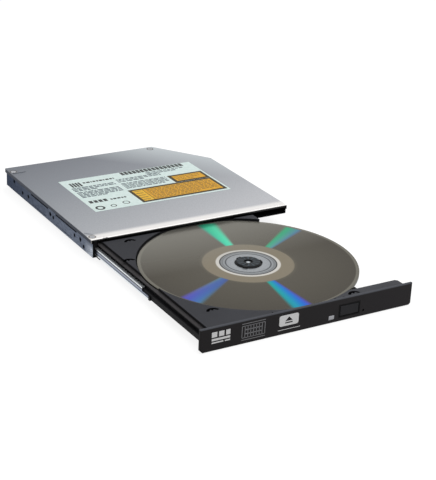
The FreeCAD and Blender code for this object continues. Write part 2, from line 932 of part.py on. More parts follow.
def pivot_place():
    """The latch lever's pivot on the tray."""
    return latch_post_x + latch_pivot[0], front + latch_post_y - tray_travel + latch_pivot[1]


def tray_cuts(solid):
    """Openings in the tray's front and top: button, lamp, hooks, finger slots and pips."""
    cx, cz = button_centre()
    w, h = button_width / 2 + button_flange + 0.4, button_height / 2 + button_flange + 0.4
    y0 = bezel_back - 1
    depth = button_flange_thickness + button_travel + 0.4
    cuts = [block(cx - w, cx + w, y0, bezel_back + depth, cz - h, cz + h)]
    lx, lz = -half + lamp_x, lamp_z
    cuts.append(block(lx - lamp_width / 2 - 0.2, lx + lamp_width / 2 + 0.2, y0, y0 + 4, lz - 1.2, lz + 1.2))
    cuts.append(prism(pin_hole_radius + 0.3, 4, -half + pin_hole_x, y0, pin_hole_z, (0, 1, 0), 8))
    for x, top in hook_places:
        w2 = hook_width / 2 + 0.2
        cuts.append(block(x - w2, x + w2, y0, y0 + 2.2 + tray_wall, top - hook_thickness - 0.4, top + 0.3))
    cuts += [crescent(x, bezel_back + y) for x, y in finger_places]
    pip_z = tray_top - finger_depth
    cuts += [prism(pip_radius, 2, x, bezel_back + y, pip_z, sides=8) for x, y in pip_places]
    for cut in cuts:
        solid = solid.cut(cut)
    return solid


def crescent(x, y):
    """A shallow finger slot: an arc of even width, bulging towards the rear, with a short stem."""
    steps = 8
    angles = [math.radians(20 + 140 * i / steps) for i in range(steps + 1)]
    inside = finger_radius - finger_width
    outer = [(x + finger_radius * math.cos(a), y + finger_radius * math.sin(a)) for a in angles]
    inner = [(x + inside * math.cos(a), y + inside * math.sin(a)) for a in reversed(angles)]
    arc = slab(outer + inner, tray_top - finger_depth, tray_top + 1)
    y0, y1 = y + inside - finger_width, y + inside + 0.2
    stem = block(x - 0.5, x + 0.5, y0, y1, tray_top - finger_depth, tray_top + 1)
    return joined([arc, stem])


def bezel_outline(y, shrink):
    """The bezel's outline at one depth, drawn in by shrink."""
    x, z0, z1 = half - shrink, shrink, case_height - shrink
    corners = [(-x, z0), (x, z0), (x, z1), (-x, z1), (-x, z0)]
    return Part.makePolygon([vec(a, y, b) for a, b in corners])


def bezel():
    """Front plate with bevelled edges, button window, lamp hole, pin hole and hooks."""
    y0, y1 = bezel_front, bezel_back
    plate = block(-half, half, y0 + bezel_bevel, y1, 0, case_height)
    face = Part.makeLoft([bezel_outline(y0 + bezel_bevel, 0), bezel_outline(y0, bezel_bevel)], True, True)
    shape = joined([plate, face])
    cx, cz = button_centre()
    w, h = button_width / 2 + button_gap, button_height / 2 + button_gap
    shape = shape.cut(block(cx - w, cx + w, y0 - 1, y1 + 1, cz - h, cz + h))
    lx = -half + lamp_x
    z0, z1 = lamp_z - lamp_height / 2, lamp_z + lamp_height / 2
    shape = shape.cut(block(lx - lamp_width / 2, lx + lamp_width / 2, y0 - 1, y1 + 1, z0, z1))
    shape = shape.cut(rod(pin_hole_radius, 4, -half + pin_hole_x, y0 - 1, pin_hole_z, (0, 1, 0)))
    hooks = []
    for x, top in hook_places:
        barb = [
            (y1, top - hook_thickness),
            (y1, top),
            (y1 + tray_wall + 0.1, top),
            (y1 + tray_wall + 0.1, top + hook_barb),
            (y1 + hook_reach, top),
            (y1 + hook_reach, top - hook_thickness),
        ]
        hooks.append(strip(barb, x - hook_width / 2, x + hook_width / 2))
    shape = joined([shape] + hooks)
    for side in (-1, 1):
        corner = [(side * half, 0), (side * (half - bezel_corner), 0), (side * half, bezel_corner)]
        shape = shape.cut(bar(corner, y0 - 1, y1 + 1))
    return shape


def eject_button():
    """Button cap in the bezel's window, with a flange behind it and a pusher."""
    cx, cz = button_centre()
    w, h = button_width / 2, button_height / 2
    y0 = bezel_front - button_proud
    y1 = bezel_back + 0.2
    cap = block(cx - w, cx + w, y0, y1, cz - h, cz + h)
    cap = cap.makeFillet(0.4, [e for e in cap.Edges if e.BoundBox.YMax < y0 + 0.01])
    f = button_flange
    flange = block(cx - w - f, cx + w + f, y1, y1 + button_flange_thickness, cz - h - f, cz + h + f)
    return joined([cap, flange])


def led_window():
    lx = -half + lamp_x
    w, h = lamp_width / 2, lamp_height / 2
    return block(lx - w, lx + w, bezel_front + 0.1, bezel_back + tray_wall + 0.2, lamp_z - h, lamp_z + h)


def tray_board():
    """Small board behind the bezel for the switch and the lamp."""
    y0 = bezel_back + tray_wall + button_travel
    board = block(tray_board_left, tray_board_right, y0, y0 + tray_board_depth, tray_board_foot, tray_board_top)
    for x, y in peg_places:
        board = board.cut(prism(peg_radius, 3, x, bezel_back + y, tray_board_foot - 1))
    return board


def eject_switch():
    """Side-push switch on the tray board, its stem just behind the button."""
    cx = button_centre()[0]
    z = tray_board_top
    y_push = bezel_back + 0.2 + button_flange_thickness + button_travel + 0.1
    body = block(cx - 2.6, cx + 2.6, y_push + 0.5, y_push + 2.2, z, z + 2.0)
    stem = block(cx - 0.9, cx + 0.9, y_push, y_push + 0.5, z + 0.5, z + 1.5)
    return joined([body, stem])


def under_plate():
    """Sheet under the traverse, open round the sled motor."""
    x0 = on_side("left", wall_in) + 0.3
    y0, y1 = bezel_back + tray_wall + 0.5, tray_rear - tray_rear_bay - 1
    z0, z1 = under_plate_foot, under_plate_top
    plate = block(x0, under_plate_side, y0, y1, z0, z1)
    motor_x = screw_start - stepper_length - 1
    motor_gap = block(motor_x, screw_start + 1.5, screw_y - 4, screw_y + 3.4, z0 - 1, z1 + 1)
    vents = [block(x, x + vent_length, -vent_half, vent_half, z0 - 1, z1 + 1) for x in vent_starts]
    return plate.cut(placed(Part.makeCompound([motor_gap] + vents)))


# Traverse


def traverse_chassis():
    """Stamped frame under the recess floor: motor hole, sled slot, open rod seats and screw brackets."""
    outline = [
        (chassis_back, chassis_left),
        (chassis_end - chassis_tip + 0.5, chassis_left),
        (chassis_end, -chassis_tip),
        (chassis_end, chassis_tip),
        (chassis_end + chassis_tip - chassis_right, chassis_right),
        (chassis_back, chassis_right),
    ]
    plate = slab(outline, chassis_foot, chassis_top)
    cuts = [
        rod(motor_hole, 9, 0, 0, 0),
        block(0, slot_end, -slot_half, slot_half, 0, 9),
        block(chassis_back - 1, screw_start - 1.0, chassis_left - 1, screw_y + stepper_radius + 0.4, 0, 9),
    ]
    cuts += [prism(damper_groove, 9, x, y, 0) for x, y in damper_places]
    plate = plate.cut(Part.makeCompound(cuts))
    blocks = []
    foot = sled_foot - 0.1
    for y in (-rod_y, rod_y):
        for x in (rod_start, rod_end - rod_block):
            blocks.append(block(x, x + rod_block, y - rod_block_half, y + rod_block_half, foot, chassis_foot))
    for x in (screw_start - 1.0, screw_end - 1.5):
        blocks.append(block(x, x + 1.0, chassis_left, screw_y + 2.2, foot, chassis_foot))
    frame = joined([plate] + blocks)
    seat = rod_radius + rod_fit
    for y in (-rod_y, rod_y):
        frame = frame.cut(block(rod_start - 1, rod_end + 1, y - seat, y + seat, 0, rod_z + seat))
    length = screw_end - screw_start + 8
    bore = rod(screw_radius + running_fit, length, screw_start - 4, screw_y, rod_z, (1, 0, 0))
    return placed(frame.cut(bore))


def chassis_dampers():
    """Rubber grommets that carry the chassis under the tray's floor."""
    grommets = []
    flange = 0.6
    for x, y in damper_places:
        foot = prism(damper_radius, flange, x, y, chassis_foot - flange)
        neck = prism(damper_groove, chassis_sheet, x, y, chassis_foot)
        head = prism(damper_radius, floor_under - chassis_top, x, y, chassis_top)
        grommets.append(joined([foot, neck, head]))
    return placed(Part.makeCompound(grommets))


def guide_rods():
    rods = [rod(rod_radius, rod_end - rod_start, rod_start, y, rod_z, (1, 0, 0)) for y in (-rod_y, rod_y)]
    return placed(Part.makeCompound(rods))


def sled_motor():
    """Small stepper at the screw's inner end."""
    x1 = screw_start - 1.0
    can = rod(stepper_radius, stepper_length, x1 - stepper_length, screw_y, rod_z, (1, 0, 0))
    side = screw_y + stepper_radius
    pads = block(x1 - stepper_length + 2, x1 - 4, side - 0.4, side + 0.3, rod_z - 1.2, rod_z + 1.2)
    can = joined([can, pads])
    return placed(can.cut(rod(screw_radius + running_fit, 3, x1 - 2, screw_y, rod_z, (1, 0, 0))))


def lead_screw():
    """Screw that drives the sled; its thread is left to the finish."""
    start = screw_start - 2.5
    thread = rod(screw_radius, screw_end - 0.3 - start, start, screw_y, rod_z, (1, 0, 0))
    return placed(thread)


def pickup_sled():
    """Sled casting: tapered lower body, upper block with the lens pocket, rod boss, fork and screw follower."""
    lower = slab(
        [
            (sled_back, -sled_half),
            (sled_front - 7, -sled_half),
            (sled_front, -sled_nose),
            (sled_front, sled_nose),
            (sled_front - 7, sled_half),
            (sled_back, sled_half),
        ],
        sled_foot,
        sled_deck,
    )
    upper = block(sled_back + 1, sled_front - 0.5, -sled_upper_half, sled_upper_half, sled_deck, sled_top)
    length = sled_boss_end - sled_boss_start
    boss = rod(sled_boss, length, sled_boss_start, rod_y, rod_z, (1, 0, 0))
    bridge = block(sled_boss_start, sled_boss_end, sled_half - 0.5, rod_y, sled_foot, sled_deck)
    x0 = sled_boss_start
    fork = block(x0, x0 + 4, -rod_y - sled_boss, 0.5 - sled_half, rod_z - sled_boss, rod_z + sled_boss)
    nut_y = screw_y + screw_radius + 0.1
    follower = block(x0 + 1, x0 + 3, nut_y, -rod_y - sled_boss + 0.5, rod_z - 0.6, rod_z + 0.6)
    body = joined([lower, upper, boss, bridge, fork, follower])
    body = body.cut(rod(rod_radius + running_fit, 60, 0, rod_y, rod_z, (1, 0, 0)))
    fork_slot = rod_radius + running_fit
    mouth = -rod_y - sled_boss + 0.3
    body = body.cut(block(x0 - 1, x0 + 5, mouth, -rod_y + 1.0, rod_z - fork_slot, rod_z + fork_slot))
    gap = focus_gap + 0.2
    pocket = block(
        lens_radius_in - holder_length / 2 - gap,
        lens_radius_in + holder_length / 2 + gap,
        -holder_width / 2 - gap,
        holder_width / 2 + gap,
        sled_deck,
        sled_top + 1,
    )
    body = body.cut(pocket)
    side_notch = block(sled_back - 1, sled_back + 3, -5, 5, sled_foot - 1, sled_foot + 1.2)
    return placed(body.cut(side_notch))


def lens_holder():
    """Moving lens frame, free in its pocket."""
    z0 = sled_deck + focus_travel + focus_gap
    body = block(
        lens_radius_in - holder_length / 2,
        lens_radius_in + holder_length / 2,
        -holder_width / 2,
        holder_width / 2,
        z0,
        z0 + holder_height,
    )
    return placed(body.cut(rod(lens_radius + 0.02, 4, lens_radius_in, 0, z0 + 0.5)))


def lens():
    """Domed objective lens."""
    z0 = sled_deck + focus_travel + focus_gap + 0.5
    side = holder_height - 0.5
    barrel = rod(lens_radius, side, lens_radius_in, 0, z0)
    foot = vec(lens_radius_in, 0, z0 + side)
    dome = Part.makeCone(lens_radius, lens_radius / 2, lens_dome, foot, vec(0, 0, 1))
    return placed(joined([barrel, dome]))


# Spindle


def spindle_base():
    """Motor plate with bent-up tabs that meet the chassis."""
    plate = block(base_back, base_front, -base_half, base_half, base_foot, base_foot + base_sheet)
    z0, z1 = base_foot, chassis_foot
    tabs = [
        block(base_back, base_back + 0.8, -5, 5, z0, z1),
        block(-5, 5, -base_half, -base_half + 0.8, z0, z1),
        block(-5, 5, base_half - 0.8, base_half, z0, z1),
    ]
    base = joined([plate] + tabs)
    return placed(base.cut(rod(bearing_radius - 1, 9, 0, 0, 0)))


def spindle_bearing():
    z0 = base_foot + base_sheet
    top = rotor_top() - turntable_thickness - rotor_wall - 0.3
    sleeve = prism(bearing_radius, top - z0, 0, 0, z0, sides=rotor_sides)
    return placed(sleeve.cut(rod(shaft_radius + shaft_fit, top, 0, 0, 0)))


def spindle_stator():
    """Ring with wound teeth round the bearing."""
    z0 = base_foot + base_sheet + 0.5
    z1 = z0 + 2.2
    core = ring(bearing_radius + 1.6, bearing_radius, z0, z1)
    teeth = []
    for i in range(stator_teeth):
        angle = 360.0 * i / stator_teeth
        tip = block(stator_radius - 1.2, stator_radius - 0.2, -2.2, 2.2, z0 + 0.2, z1 - 0.2)
        coil = block(bearing_radius + 1.2, stator_radius - 1.2, -1.3, 1.3, z0, z1)
        tooth = joined([tip, coil])
        tooth.rotate(vec(0, 0, 0), vec(0, 0, 1), angle)
        teeth.append(tooth)
    return placed(joined([core] + teeth))


def rotor_top():
    """Upper face of the turntable, under the rubber ring."""
    return disc_z - pad_thickness


def spindle_rotor():
    """Cup, turntable and shaft in one; the cup is flat-sided inside."""
    top = rotor_top()
    under = top - turntable_thickness
    cup = rod(rotor_radius, under - rotor_foot, 0, 0, rotor_foot)
    room = under - rotor_wall - rotor_foot
    cup = cup.cut(prism(rotor_radius - rotor_wall, room, 0, 0, rotor_foot, sides=rotor_sides))
    cap = rod(rotor_radius, rotor_wall, 0, 0, under - rotor_wall)
    table = rod(turntable_radius, turntable_thickness, 0, 0, under)
    shaft = rod(shaft_radius, under - rotor_foot, 0, 0, rotor_foot)
    return placed(joined([cup, cap, table, shaft]))


def turntable_pad():
    pad = prism(turntable_radius - 0.3, pad_thickness, 0, 0, rotor_top(), sides=rotor_sides)
    return placed(pad.cut(prism(pad_inner, 2 * pad_thickness, 0, 0, rotor_top() - 0.1, sides=rotor_sides)))


def hub_radius():
    return disc_hole - hub_fit


def pawl_cut(angle, grow):
    """The radial slot of one pawl, widened by grow."""
    r = hub_radius()
    w = pawl_width / 2 + grow
    slot = block(r - pawl_stem - grow, r + 2, -w, w, disc_z - grow, disc_z + hub_height)
    slot.rotate(vec(0, 0, 0), vec(0, 0, 1), angle)
    return slot


def disc_hub():
    """Centring hub with a tapered crown, a dished top and a slot for each pawl."""
    r = hub_radius()
    foot = rotor_top()
    straight = disc_z + disc_thickness - 0.1
    top = foot + hub_height - 0.3
    body = rod(r, straight - foot, 0, 0, foot)
    crown = Part.makeCone(r, r - 1.0, top - straight, vec(0, 0, straight), vec(0, 0, 1))
    hub = joined([body, crown])
    hub = hub.cut(rod(dish_radius, 2, 0, 0, top - dish_depth))
    for i in range(pawl_count):
        hub = hub.cut(pawl_cut(360.0 * i / pawl_count, pawl_fit))
    return placed(hub)


def hub_pawls():
    """Sprung pawls that snap over the disc's edge."""
    r = hub_radius()
    top = rotor_top() + hub_height - 0.4
    pawls = []
    for i in range(pawl_count):
        angle = 360.0 * i / pawl_count
        stem = block(r - pawl_stem, r - 0.6, -pawl_width / 2, pawl_width / 2, disc_z - pawl_fit, top)
        nose = strip(
            [
                (0.0, disc_z + disc_thickness + 0.05),
                (0.0, top),
                (0.6, top),
                (0.6 + pawl_overhang, disc_z + disc_thickness + 0.35),
                (0.6 + pawl_overhang - 0.25, disc_z + disc_thickness + 0.05),
            ],
            -pawl_width / 2,
            pawl_width / 2,
        )
        nose.rotate(vec(0, 0, 0), vec(0, 0, 1), -90)
        nose.translate(vec(r - 0.6, 0, 0))
        pawl = joined([stem, nose])
        pawl.rotate(vec(0, 0, 0), vec(0, 0, 1), angle)
        pawls.append(pawl)
    return placed(Part.makeCompound(pawls))


def disc():
    """Recorded disc."""
    body = ring(disc_radius, disc_hole, disc_z, disc_z + disc_thickness)
    body.translate(vec(disc_x, disc_y, 0))
    return body


# Latch


def latch_lever():
    """Flat lever on the tray, drawn swung clear of the post, with its hook and its magnet plate."""
    post = (latch_post_x, front + latch_post_y - tray_travel)
    px, py = pivot_place()
    z0, z1 = latch_foot, latch_foot + latch_plate
    r = latch_post_radius
    hook = [
        (px - 2.0, py - 1.0),
        (px - 1.0, post[1] + r - 2.2),
        (px + 1.6, post[1] + r - 2.2),
        (post[0] - r - 1.4, post[1] + r + 0.2),
        (post[0] + r * 0.9, post[1] + r + 0.2),
        (post[0] + r * 0.9, post[1] + r + 1.4),
        (px + 2.4, post[1] + r + 3.4),
        (px + 2.0, py + 1.0),
    ]
    arm = slab(hook, z0, z1)
    eye = rod(2.4, latch_plate, px, py, z0)
    tail = block(px - 8.0, px, py - 1.2, py + 1.2, z0, z1)
    armature = block(px - 9.0, px - 8.0, py - 2.6, py + 2.6, z0, z0 + 3.0)
    shape = joined([arm, eye, tail, armature]).cut(rod(pin_radius + running_fit, 9, px, py, 0))
    shape.rotate(vec(px, py, 0), vec(0, 0, 1), -latch_swing)
    return shape


def latch_pin():
    """Pivot pin of the latch lever, set in the tray's post."""
    px, py = pivot_place()
    head = prism(pin_radius + 0.7, 0.25, px, py, under_plate_top)
    return joined([head, rod(pin_radius, floor_under - 1 - under_plate_top, px, py, under_plate_top)])


def latch_magnet():
    """Small electromagnet that frees the lever: yoke and coil."""
    px, py = pivot_place()
    x1 = px - 9.8
    z0 = under_plate_top
    yoke = block(x1 - 8, x1, py - 3.2, py + 3.2, z0, z0 + 3.6)
    yoke = yoke.cut(block(x1 - 6.6, x1 - 1.2, py - 4, py + 4, z0 + 0.8, z0 + 2.8))
    coil = rod(1.6, 5.0, x1 - 6.4, py, z0 + 1.8, (1, 0, 0))
    seat = block(x1 - 7, x1 - 5.6, py - 1.5, py + 1.5, z0 + 3.6, floor_under)
    return joined([yoke, coil, seat])


NODES = {
    "base_pan": base_pan,
    "top_cover": top_cover,
    "cover_screws": cover_screws,
    "label_sheet": label_sheet,
    "label_panels": label_panels,
    "left_guide": lambda: guide("left"),
    "right_guide": lambda: guide("right"),
    "latch_post": latch_post,
    "main_board": main_board,
    "board_chips": board_chips,
    "rear_connector": rear_connector,
    "board_flex_socket": board_flex_socket,
    "tray_flex_socket": tray_flex_socket,
    "flex_cable": flex_cable,
    "left_rail": lambda: rail("left"),
    "right_rail": lambda: rail("right"),
    "left_rail_stop": lambda: rail_stop_clip("left"),
    "right_rail_stop": lambda: rail_stop_clip("right"),
    "tray_frame": tray_frame,
    "bezel": bezel,
    "eject_button": eject_button,
    "led_window": led_window,
    "tray_board": tray_board,
    "eject_switch": eject_switch,
    "under_plate": under_plate,
    "traverse_chassis": traverse_chassis,
    "chassis_dampers": chassis_dampers,
    "guide_rods": guide_rods,
    "sled_motor": sled_motor,
    "lead_screw": lead_screw,
    "pickup_sled": pickup_sled,
    "lens_holder": lens_holder,
    "lens": lens,
    "spindle_base": spindle_base,
    "spindle_bearing": spindle_bearing,
    "spindle_stator": spindle_stator,
    "spindle_rotor": spindle_rotor,
    "turntable_pad": turntable_pad,
    "disc_hub": disc_hub,
    "hub_pawls": hub_pawls,
    "disc": disc,
    "latch_lever": latch_lever,
    "latch_pin": latch_pin,
    "latch_magnet": latch_magnet,
}


def main():
    os.makedirs("parts", exist_ok=True)
    for name, make in NODES.items():
        shape = make()
        shape.exportStep("parts/" + name + ".step")
        volume = round(sum(solid.Volume for solid in shape.Solids), 1)
        print(name, len(shape.Solids), "solids", volume, "mm3", shape.isValid())


main()
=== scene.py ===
import math

import bpy
import numpy as np
from mathutils import Matrix, Vector


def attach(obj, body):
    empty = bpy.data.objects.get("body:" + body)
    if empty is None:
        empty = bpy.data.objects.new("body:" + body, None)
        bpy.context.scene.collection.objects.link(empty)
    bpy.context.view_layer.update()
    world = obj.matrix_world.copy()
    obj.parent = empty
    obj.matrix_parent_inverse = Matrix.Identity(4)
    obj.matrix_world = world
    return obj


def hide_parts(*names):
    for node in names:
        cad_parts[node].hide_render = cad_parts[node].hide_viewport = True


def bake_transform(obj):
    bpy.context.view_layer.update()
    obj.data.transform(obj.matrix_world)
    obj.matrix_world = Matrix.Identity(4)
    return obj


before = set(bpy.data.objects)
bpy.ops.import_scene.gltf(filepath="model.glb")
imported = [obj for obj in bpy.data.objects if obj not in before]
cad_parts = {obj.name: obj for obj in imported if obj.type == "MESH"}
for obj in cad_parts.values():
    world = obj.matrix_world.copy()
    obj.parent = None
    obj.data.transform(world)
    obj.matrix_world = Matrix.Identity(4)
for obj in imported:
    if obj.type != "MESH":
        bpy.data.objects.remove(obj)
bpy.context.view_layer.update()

# Places on the drive, in millimetres, origin at the centre of the case's underside. The bezel's face is so
# far ahead of it; button and lamp have their middle and half size there, in x and z.
CASE_FRONT = -63.05
PAN_LEFT = -63.35
COVER_TOP = 12.7
TRAY_TOP = 11.2
BOARD_TOP = 2.6
UNDER_PLATE_FACE = 1.5
DISC_CENTRE = (2.0, -120.55)
DISC_RADIUS = 60.0
HUB_RADIUS = 8.0
BEZEL_FACE = 184.55
BEZEL_ENDS = (-64.0, 64.0)
BUTTON_AT = (23.9, 5.7)
BUTTON_HALF = (6.3, 3.3)
LAMP_AT = (12.9, 3.2)
LAMP_HALF = (1.65, 1.1)
LAMP_DEPTH = 0.1
COVER_SCREWS = ((-61.65, -58.65), (-61.65, 55.35), (36.0, 59.45))
UNDER_PLATE_SCREWS = ((-52.0, -176.55), (30.0, -133.05), (-53.5, -94.95), (4.0, -173.95))
BOARD_SCREWS = ((-53.0, 37.95), (-53.0, 53.95), (29.0, 37.95), (29.0, 53.95))
FINGER_SLOTS = ((-43.7, -70.75), (-56.2, -94.35), (-45.9, -166.05), (30.2, -180.35))

# The lead screw on its own axis, which runs at 45 degrees from the disc's centre: ends, place aside, height
SCREW_START = -6.0
SCREW_END = 57.5
SCREW_Y = -23.0
SCREW_Z = 3.65

# Tops of what lies on the cover: label, print and sticker borders, sticker faces, print on the stickers
LABEL_TOP = 12.8
PRINT_TOP = LABEL_TOP + 0.02
STICKER_TOP = LABEL_TOP + 0.035
STICKER_PRINT_TOP = LABEL_TOP + 0.05

# Holes of the left wall as y, z and radius, and its upper grooves as middle and half length in y
WALL_HOLES = (
    (-9.25, 6.3, 0.6), (-38.95, 6.4, 0.6), (-51.15, 4.2, 0.6), (50.05, 8.4, 0.6),
    (36.85, 5.4, 0.6), (27.65, 6.3, 0.6), (-46.75, 6.9, 0.8), (-5.05, 6.9, 0.8),
)
WALL_GROOVES = ((-27.05, 14.0), (10.95, 12.0))
GROOVE_Z = 9.45
GROOVE_HALF = 0.1

# Where tones change, in millimetres from and to. On the cover: the painted sheen to the front and at the rear
# right corner, then over y the painted highlight on the folded lip and the painted shade on its cut edge,
# over y and z the painted shade on the side flanges, and the painted shade round a screw.
COVER_SHEEN_SPAN = (-78.0, 72.0)
COVER_CORNER_SHEEN = (50.0, 105.0)
LIP_HIGHLIGHT = (-55.0, -58.3)
LIP_EDGE_SHADE = (-62.35, -62.6)
FLANGE_BEHIND = (-62.4, -62.0)
FLANGE_BELOW = (12.45, 12.2)
SCREW_SHADE = (2.5, 2.0)
# On the pan: over y from front to rear, the painted sheen patch over z and y, the painted shade on the cut
# edge over y, the left wall over x, and round a hole or groove
PAN_REARWARD = (-30.0, 55.0)
PAN_SHEEN_BELOW = (9.5, 6.5)
PAN_SHEEN_AHEAD = (-52.0, -60.5)
PAN_EDGE_SHADE = (-62.9, -63.0)
LEFT_WALL = (-62.9, -62.8)
HOLE_SHADE = (0.85, 0.35)
# On rail, tray and bezel: the rail's web, with its painted highlights and shade, over z, the tray over z, to
# the front right and at its top face, the painted highlight on the bezel's bevel over z and the painted shade
# in the gap round its button
WEB_HEIGHT = (3.4, 7.6)
TRAY_HEIGHT = 12.0
TRAY_FORWARD = (20.0, 160.0)
TRAY_FACE = (11.0, 11.1)
BEVEL_HIGHLIGHT = (12.3, 12.45)
BUTTON_GAP_SHADE = (0.55, 0.45)
# On hub and disc, over the radius: the hub's fingers, the disc's silver hub area, the dye and its hues, and
# over y the painted sheen that pales the disc's rear
FINGERS_BEGIN = (2.6, 2.9)
FINGERS_END = (6.4, 6.1)
SILVER_ENDS = (15.5, 15.3)
DYE_BEGINS = (24.6, 25.6)
DYE_ENDS = (57.5, 58.4)
DYE_HUES = (26.0, 58.0)
DISC_REAR_SHEEN = (5.0, 58.0)

# Tones: the cover's painted sheen from the rear left to the front right and the rail web's painted highlights
# and shade from foot to top, both as shares of the way; the tray's by height, with painted shade in its wells
# and walls; the hub's and the disc's by radius
COVER_SHEEN_TONES = ((0.0, "72767e"), (0.33, "8c9097"), (0.66, "a7aaaf"), (1.0, "c2c3c7"))
WEB_HIGHLIGHTS_AND_SHADE = (
    (0.0, "f0f6fa"), (0.2, "f0f6fa"), (0.23, "39414e"), (0.33, "39414e"), (0.37, "7e8799"),
    (0.64, "a3a8b8"), (0.67, "15171b"), (0.82, "15171b"), (0.85, "f6fbfe"), (1.0, "f6fbfe"),
)
# Painted shade: the tray's walls and wells go near black, its top faces and ledges keep the grey
TRAY_TONES_AND_SHADE = (
    (0.0, "0e0e10"), (2.4, "0e0e10"), (2.52, "45464b"), (2.94, "45464b"), (3.06, "0c0c0e"),
    (9.06, "0c0c0e"), (9.12, "403e3f"), (9.66, "403e3f"), (9.72, "09090b"), (10.98, "09090b"),
    (11.04, "303136"), (12.0, "303136"),
)
HUB_TONES = (
    (0.0, "e2e6e8"), (0.88, "b9c0c4"), (1.28, "0d1013"), (2.4, "0d1013"), (2.72, "181c20"), (6.4, "1a1f23"),
    (6.72, "060708"),
)
DISC_TONES = (
    (7.4, "85898d"), (8.0, "b2b6ba"), (11.8, "aaaeb2"), (12.1, "54585c"), (12.6, "5c6064"),
    (12.9, "aaaeb1"), (13.8, "999da0"), (14.0, "63676b"), (14.3, "96999b"), (15.1, "888b8d"),
    (15.3, "303336"), (15.7, "3a3d40"), (15.9, "dbd8d2"), (17.4, "dedbd4"), (17.9, "8e8573"),
    (24.6, "8e8574"), (25.4, "686459"), (27.0, "5f5b52"), (45.0, "59554c"), (58.0, "534f47"),
    (58.5, "7c796f"), (60.0, "747168"),
)
# The disc's flashes: middle and half width in degrees, then hues from the clockwise side at hub and rim
STREAKS = (
    (-93.2, 6.3, ("10b08e", "04aab4", "1a8ed0", "4450c8"), ("149ca0", "069fc0", "2472dc", "5e44cc")),
    (31.9, 5.6, ("5e86ac", "64a8a0", "4eb694", "4cac7c"), ("587cb4", "589aa0", "42b086", "44b07e")),
    (83.2, 6.6, ("80bca4", "62ecc4", "58e2ba", "60b4a6"), ("74ac92", "56dcae", "42cc9e", "4aa692")),
    (-151.4, 6.9, ("6c9494", "5274a8", "4c66a8", "52608c"), ("6750bc", "555ac4", "4874bc", "558a98")),
)

# Sockets of a Mix node that mixes colours, and its settings with its colour output
FACTOR, UNDER, OVER = 0, 6, 7
COLOURS = {"out": 2, "data_type": "RGBA"}
# Values between which a noise runs from none to full: for a cloudy one and for a sparse one
CLOUDY = (0.3, 0.7)
SPARSE = (0.35, 0.7)
# Width and depth, in millimetres, of the grain that a mould's eroded face leaves
ERODED = 0.35
ERODED_DEPTH = 0.02
# Share of a surface's direction that points down, between the pan's side walls and its underside
UNDERSIDE = (0.5, 0.9)
# A distance that no shade reaches
FAR = 50.0


# Colours, shader nodes and materials


def linear(hex_code):
    """A display colour such as 8c9299 as linear red, green, blue and alpha."""
    parts = [int(hex_code[i : i + 2], 16) / 255 for i in (0, 2, 4)]
    return [c / 12.92 if c <= 0.04045 else ((c + 0.055) / 1.055) ** 2.4 for c in parts] + [1.0]


def add(tree, kind, inputs=(), out=0, stops=(), **settings):
    """Adds a shader node with its settings, links or values, and ramp stops.

    Returns one of its outputs, or the node itself where out is None.
    """
    node = tree.nodes.new("ShaderNode" + kind)
    for key, value in settings.items():
        setattr(node, key, value)
    for key, value in inputs.items() if isinstance(inputs, dict) else enumerate(inputs):
        if isinstance(value, bpy.types.NodeSocket):
            tree.links.new(value, node.inputs[key])
        else:
            node.inputs[key].default_value = linear(value) if isinstance(value, str) else value
    if stops:
        elements = node.color_ramp.elements
        while len(elements) < len(stops):
            elements.new(0.5)
        for element, (place, colour) in zip(elements, stops):
            element.position = place
            element.color = linear(colour)
    return node if out is None else node.outputs[out]


def millimetres(tree):
    """The point's own place on the drive, in millimetres."""
    metres = add(tree, "TexCoord", out="Object")
    return add(tree, "VectorMath", {0: metres, "Scale": 1000.0}, operation="SCALE")


def grain(tree, point, size):
    """Cloudy noise whose grain is so many millimetres long: one size, or one each for X, Y and Z."""
    scale = (1 / np.full(3, size)).tolist()
    scaled = add(tree, "VectorMath", (point, scale), operation="MULTIPLY")
    return add(tree, "TexNoise", {"Vector": scaled, "Scale": 1.0, "Detail": 3.0, "Roughness": 0.6})


def about_disc(tree, point):
    """Distance from the disc's axis, the angle round it, and the place to its rear."""
    centre = add(tree, "VectorMath", (point, (*DISC_CENTRE, 0.0)), operation="SUBTRACT")
    flat = add(tree, "VectorMath", (centre, (1.0, 1.0, 0.0)), operation="MULTIPLY")
    radius = add(tree, "VectorMath", (flat,), out="Value", operation="LENGTH")
    x, y, _ = add(tree, "SeparateXYZ", (flat,), out=None).outputs
    angle = add(tree, "Math", (y, x), operation="ARCTAN2")
    return radius, angle, y


def outside_box(tree, *sides):
    """Distance outside a rectangle: the larger of value less middle, made positive, less half size."""
    reach = []
    for value, middle, half in sides:
        off = add(tree, "Math", (value, middle), operation="SUBTRACT")
        off = add(tree, "Math", (off,), operation="ABSOLUTE")
        reach.append(add(tree, "Math", (off, half), operation="SUBTRACT"))
    return add(tree, "Math", reach, operation="MAXIMUM")


def finish(name, colour, rough, metal=0.0, **sockets):
    """A material with one principled shader whose even values are set on its own sockets."""
    material = bpy.data.materials.new(name)
    material.use_nodes = True
    tree = material.node_tree
    inputs = tree.nodes["Principled BSDF"].inputs
    inputs["Base Color"].default_value = linear(colour)
    inputs["Roughness"].default_value = rough
    inputs["Metallic"].default_value = metal
    for key, value in sockets.items():
        inputs[key.replace("_", " ")].default_value = value
    return material, tree, inputs


def mottle(tree, inputs, pattern, span, dark, light):
    """Colours a surface from dark to light as a pattern runs through a span."""
    share = add(tree, "MapRange", (pattern, *span, 0.0, 1.0))
    colour = add(tree, "Mix", {FACTOR: share, UNDER: dark, OVER: light}, **COLOURS)
    tree.links.new(colour, inputs["Base Color"])


def relief(tree, inputs, height, strength, depth):
    """Surface relief from a height pattern, of so many millimetres."""
    bump = add(tree, "Bump", {"Height": height, "Strength": strength, "Distance": depth * 0.001})
    tree.links.new(bump, inputs["Normal"])


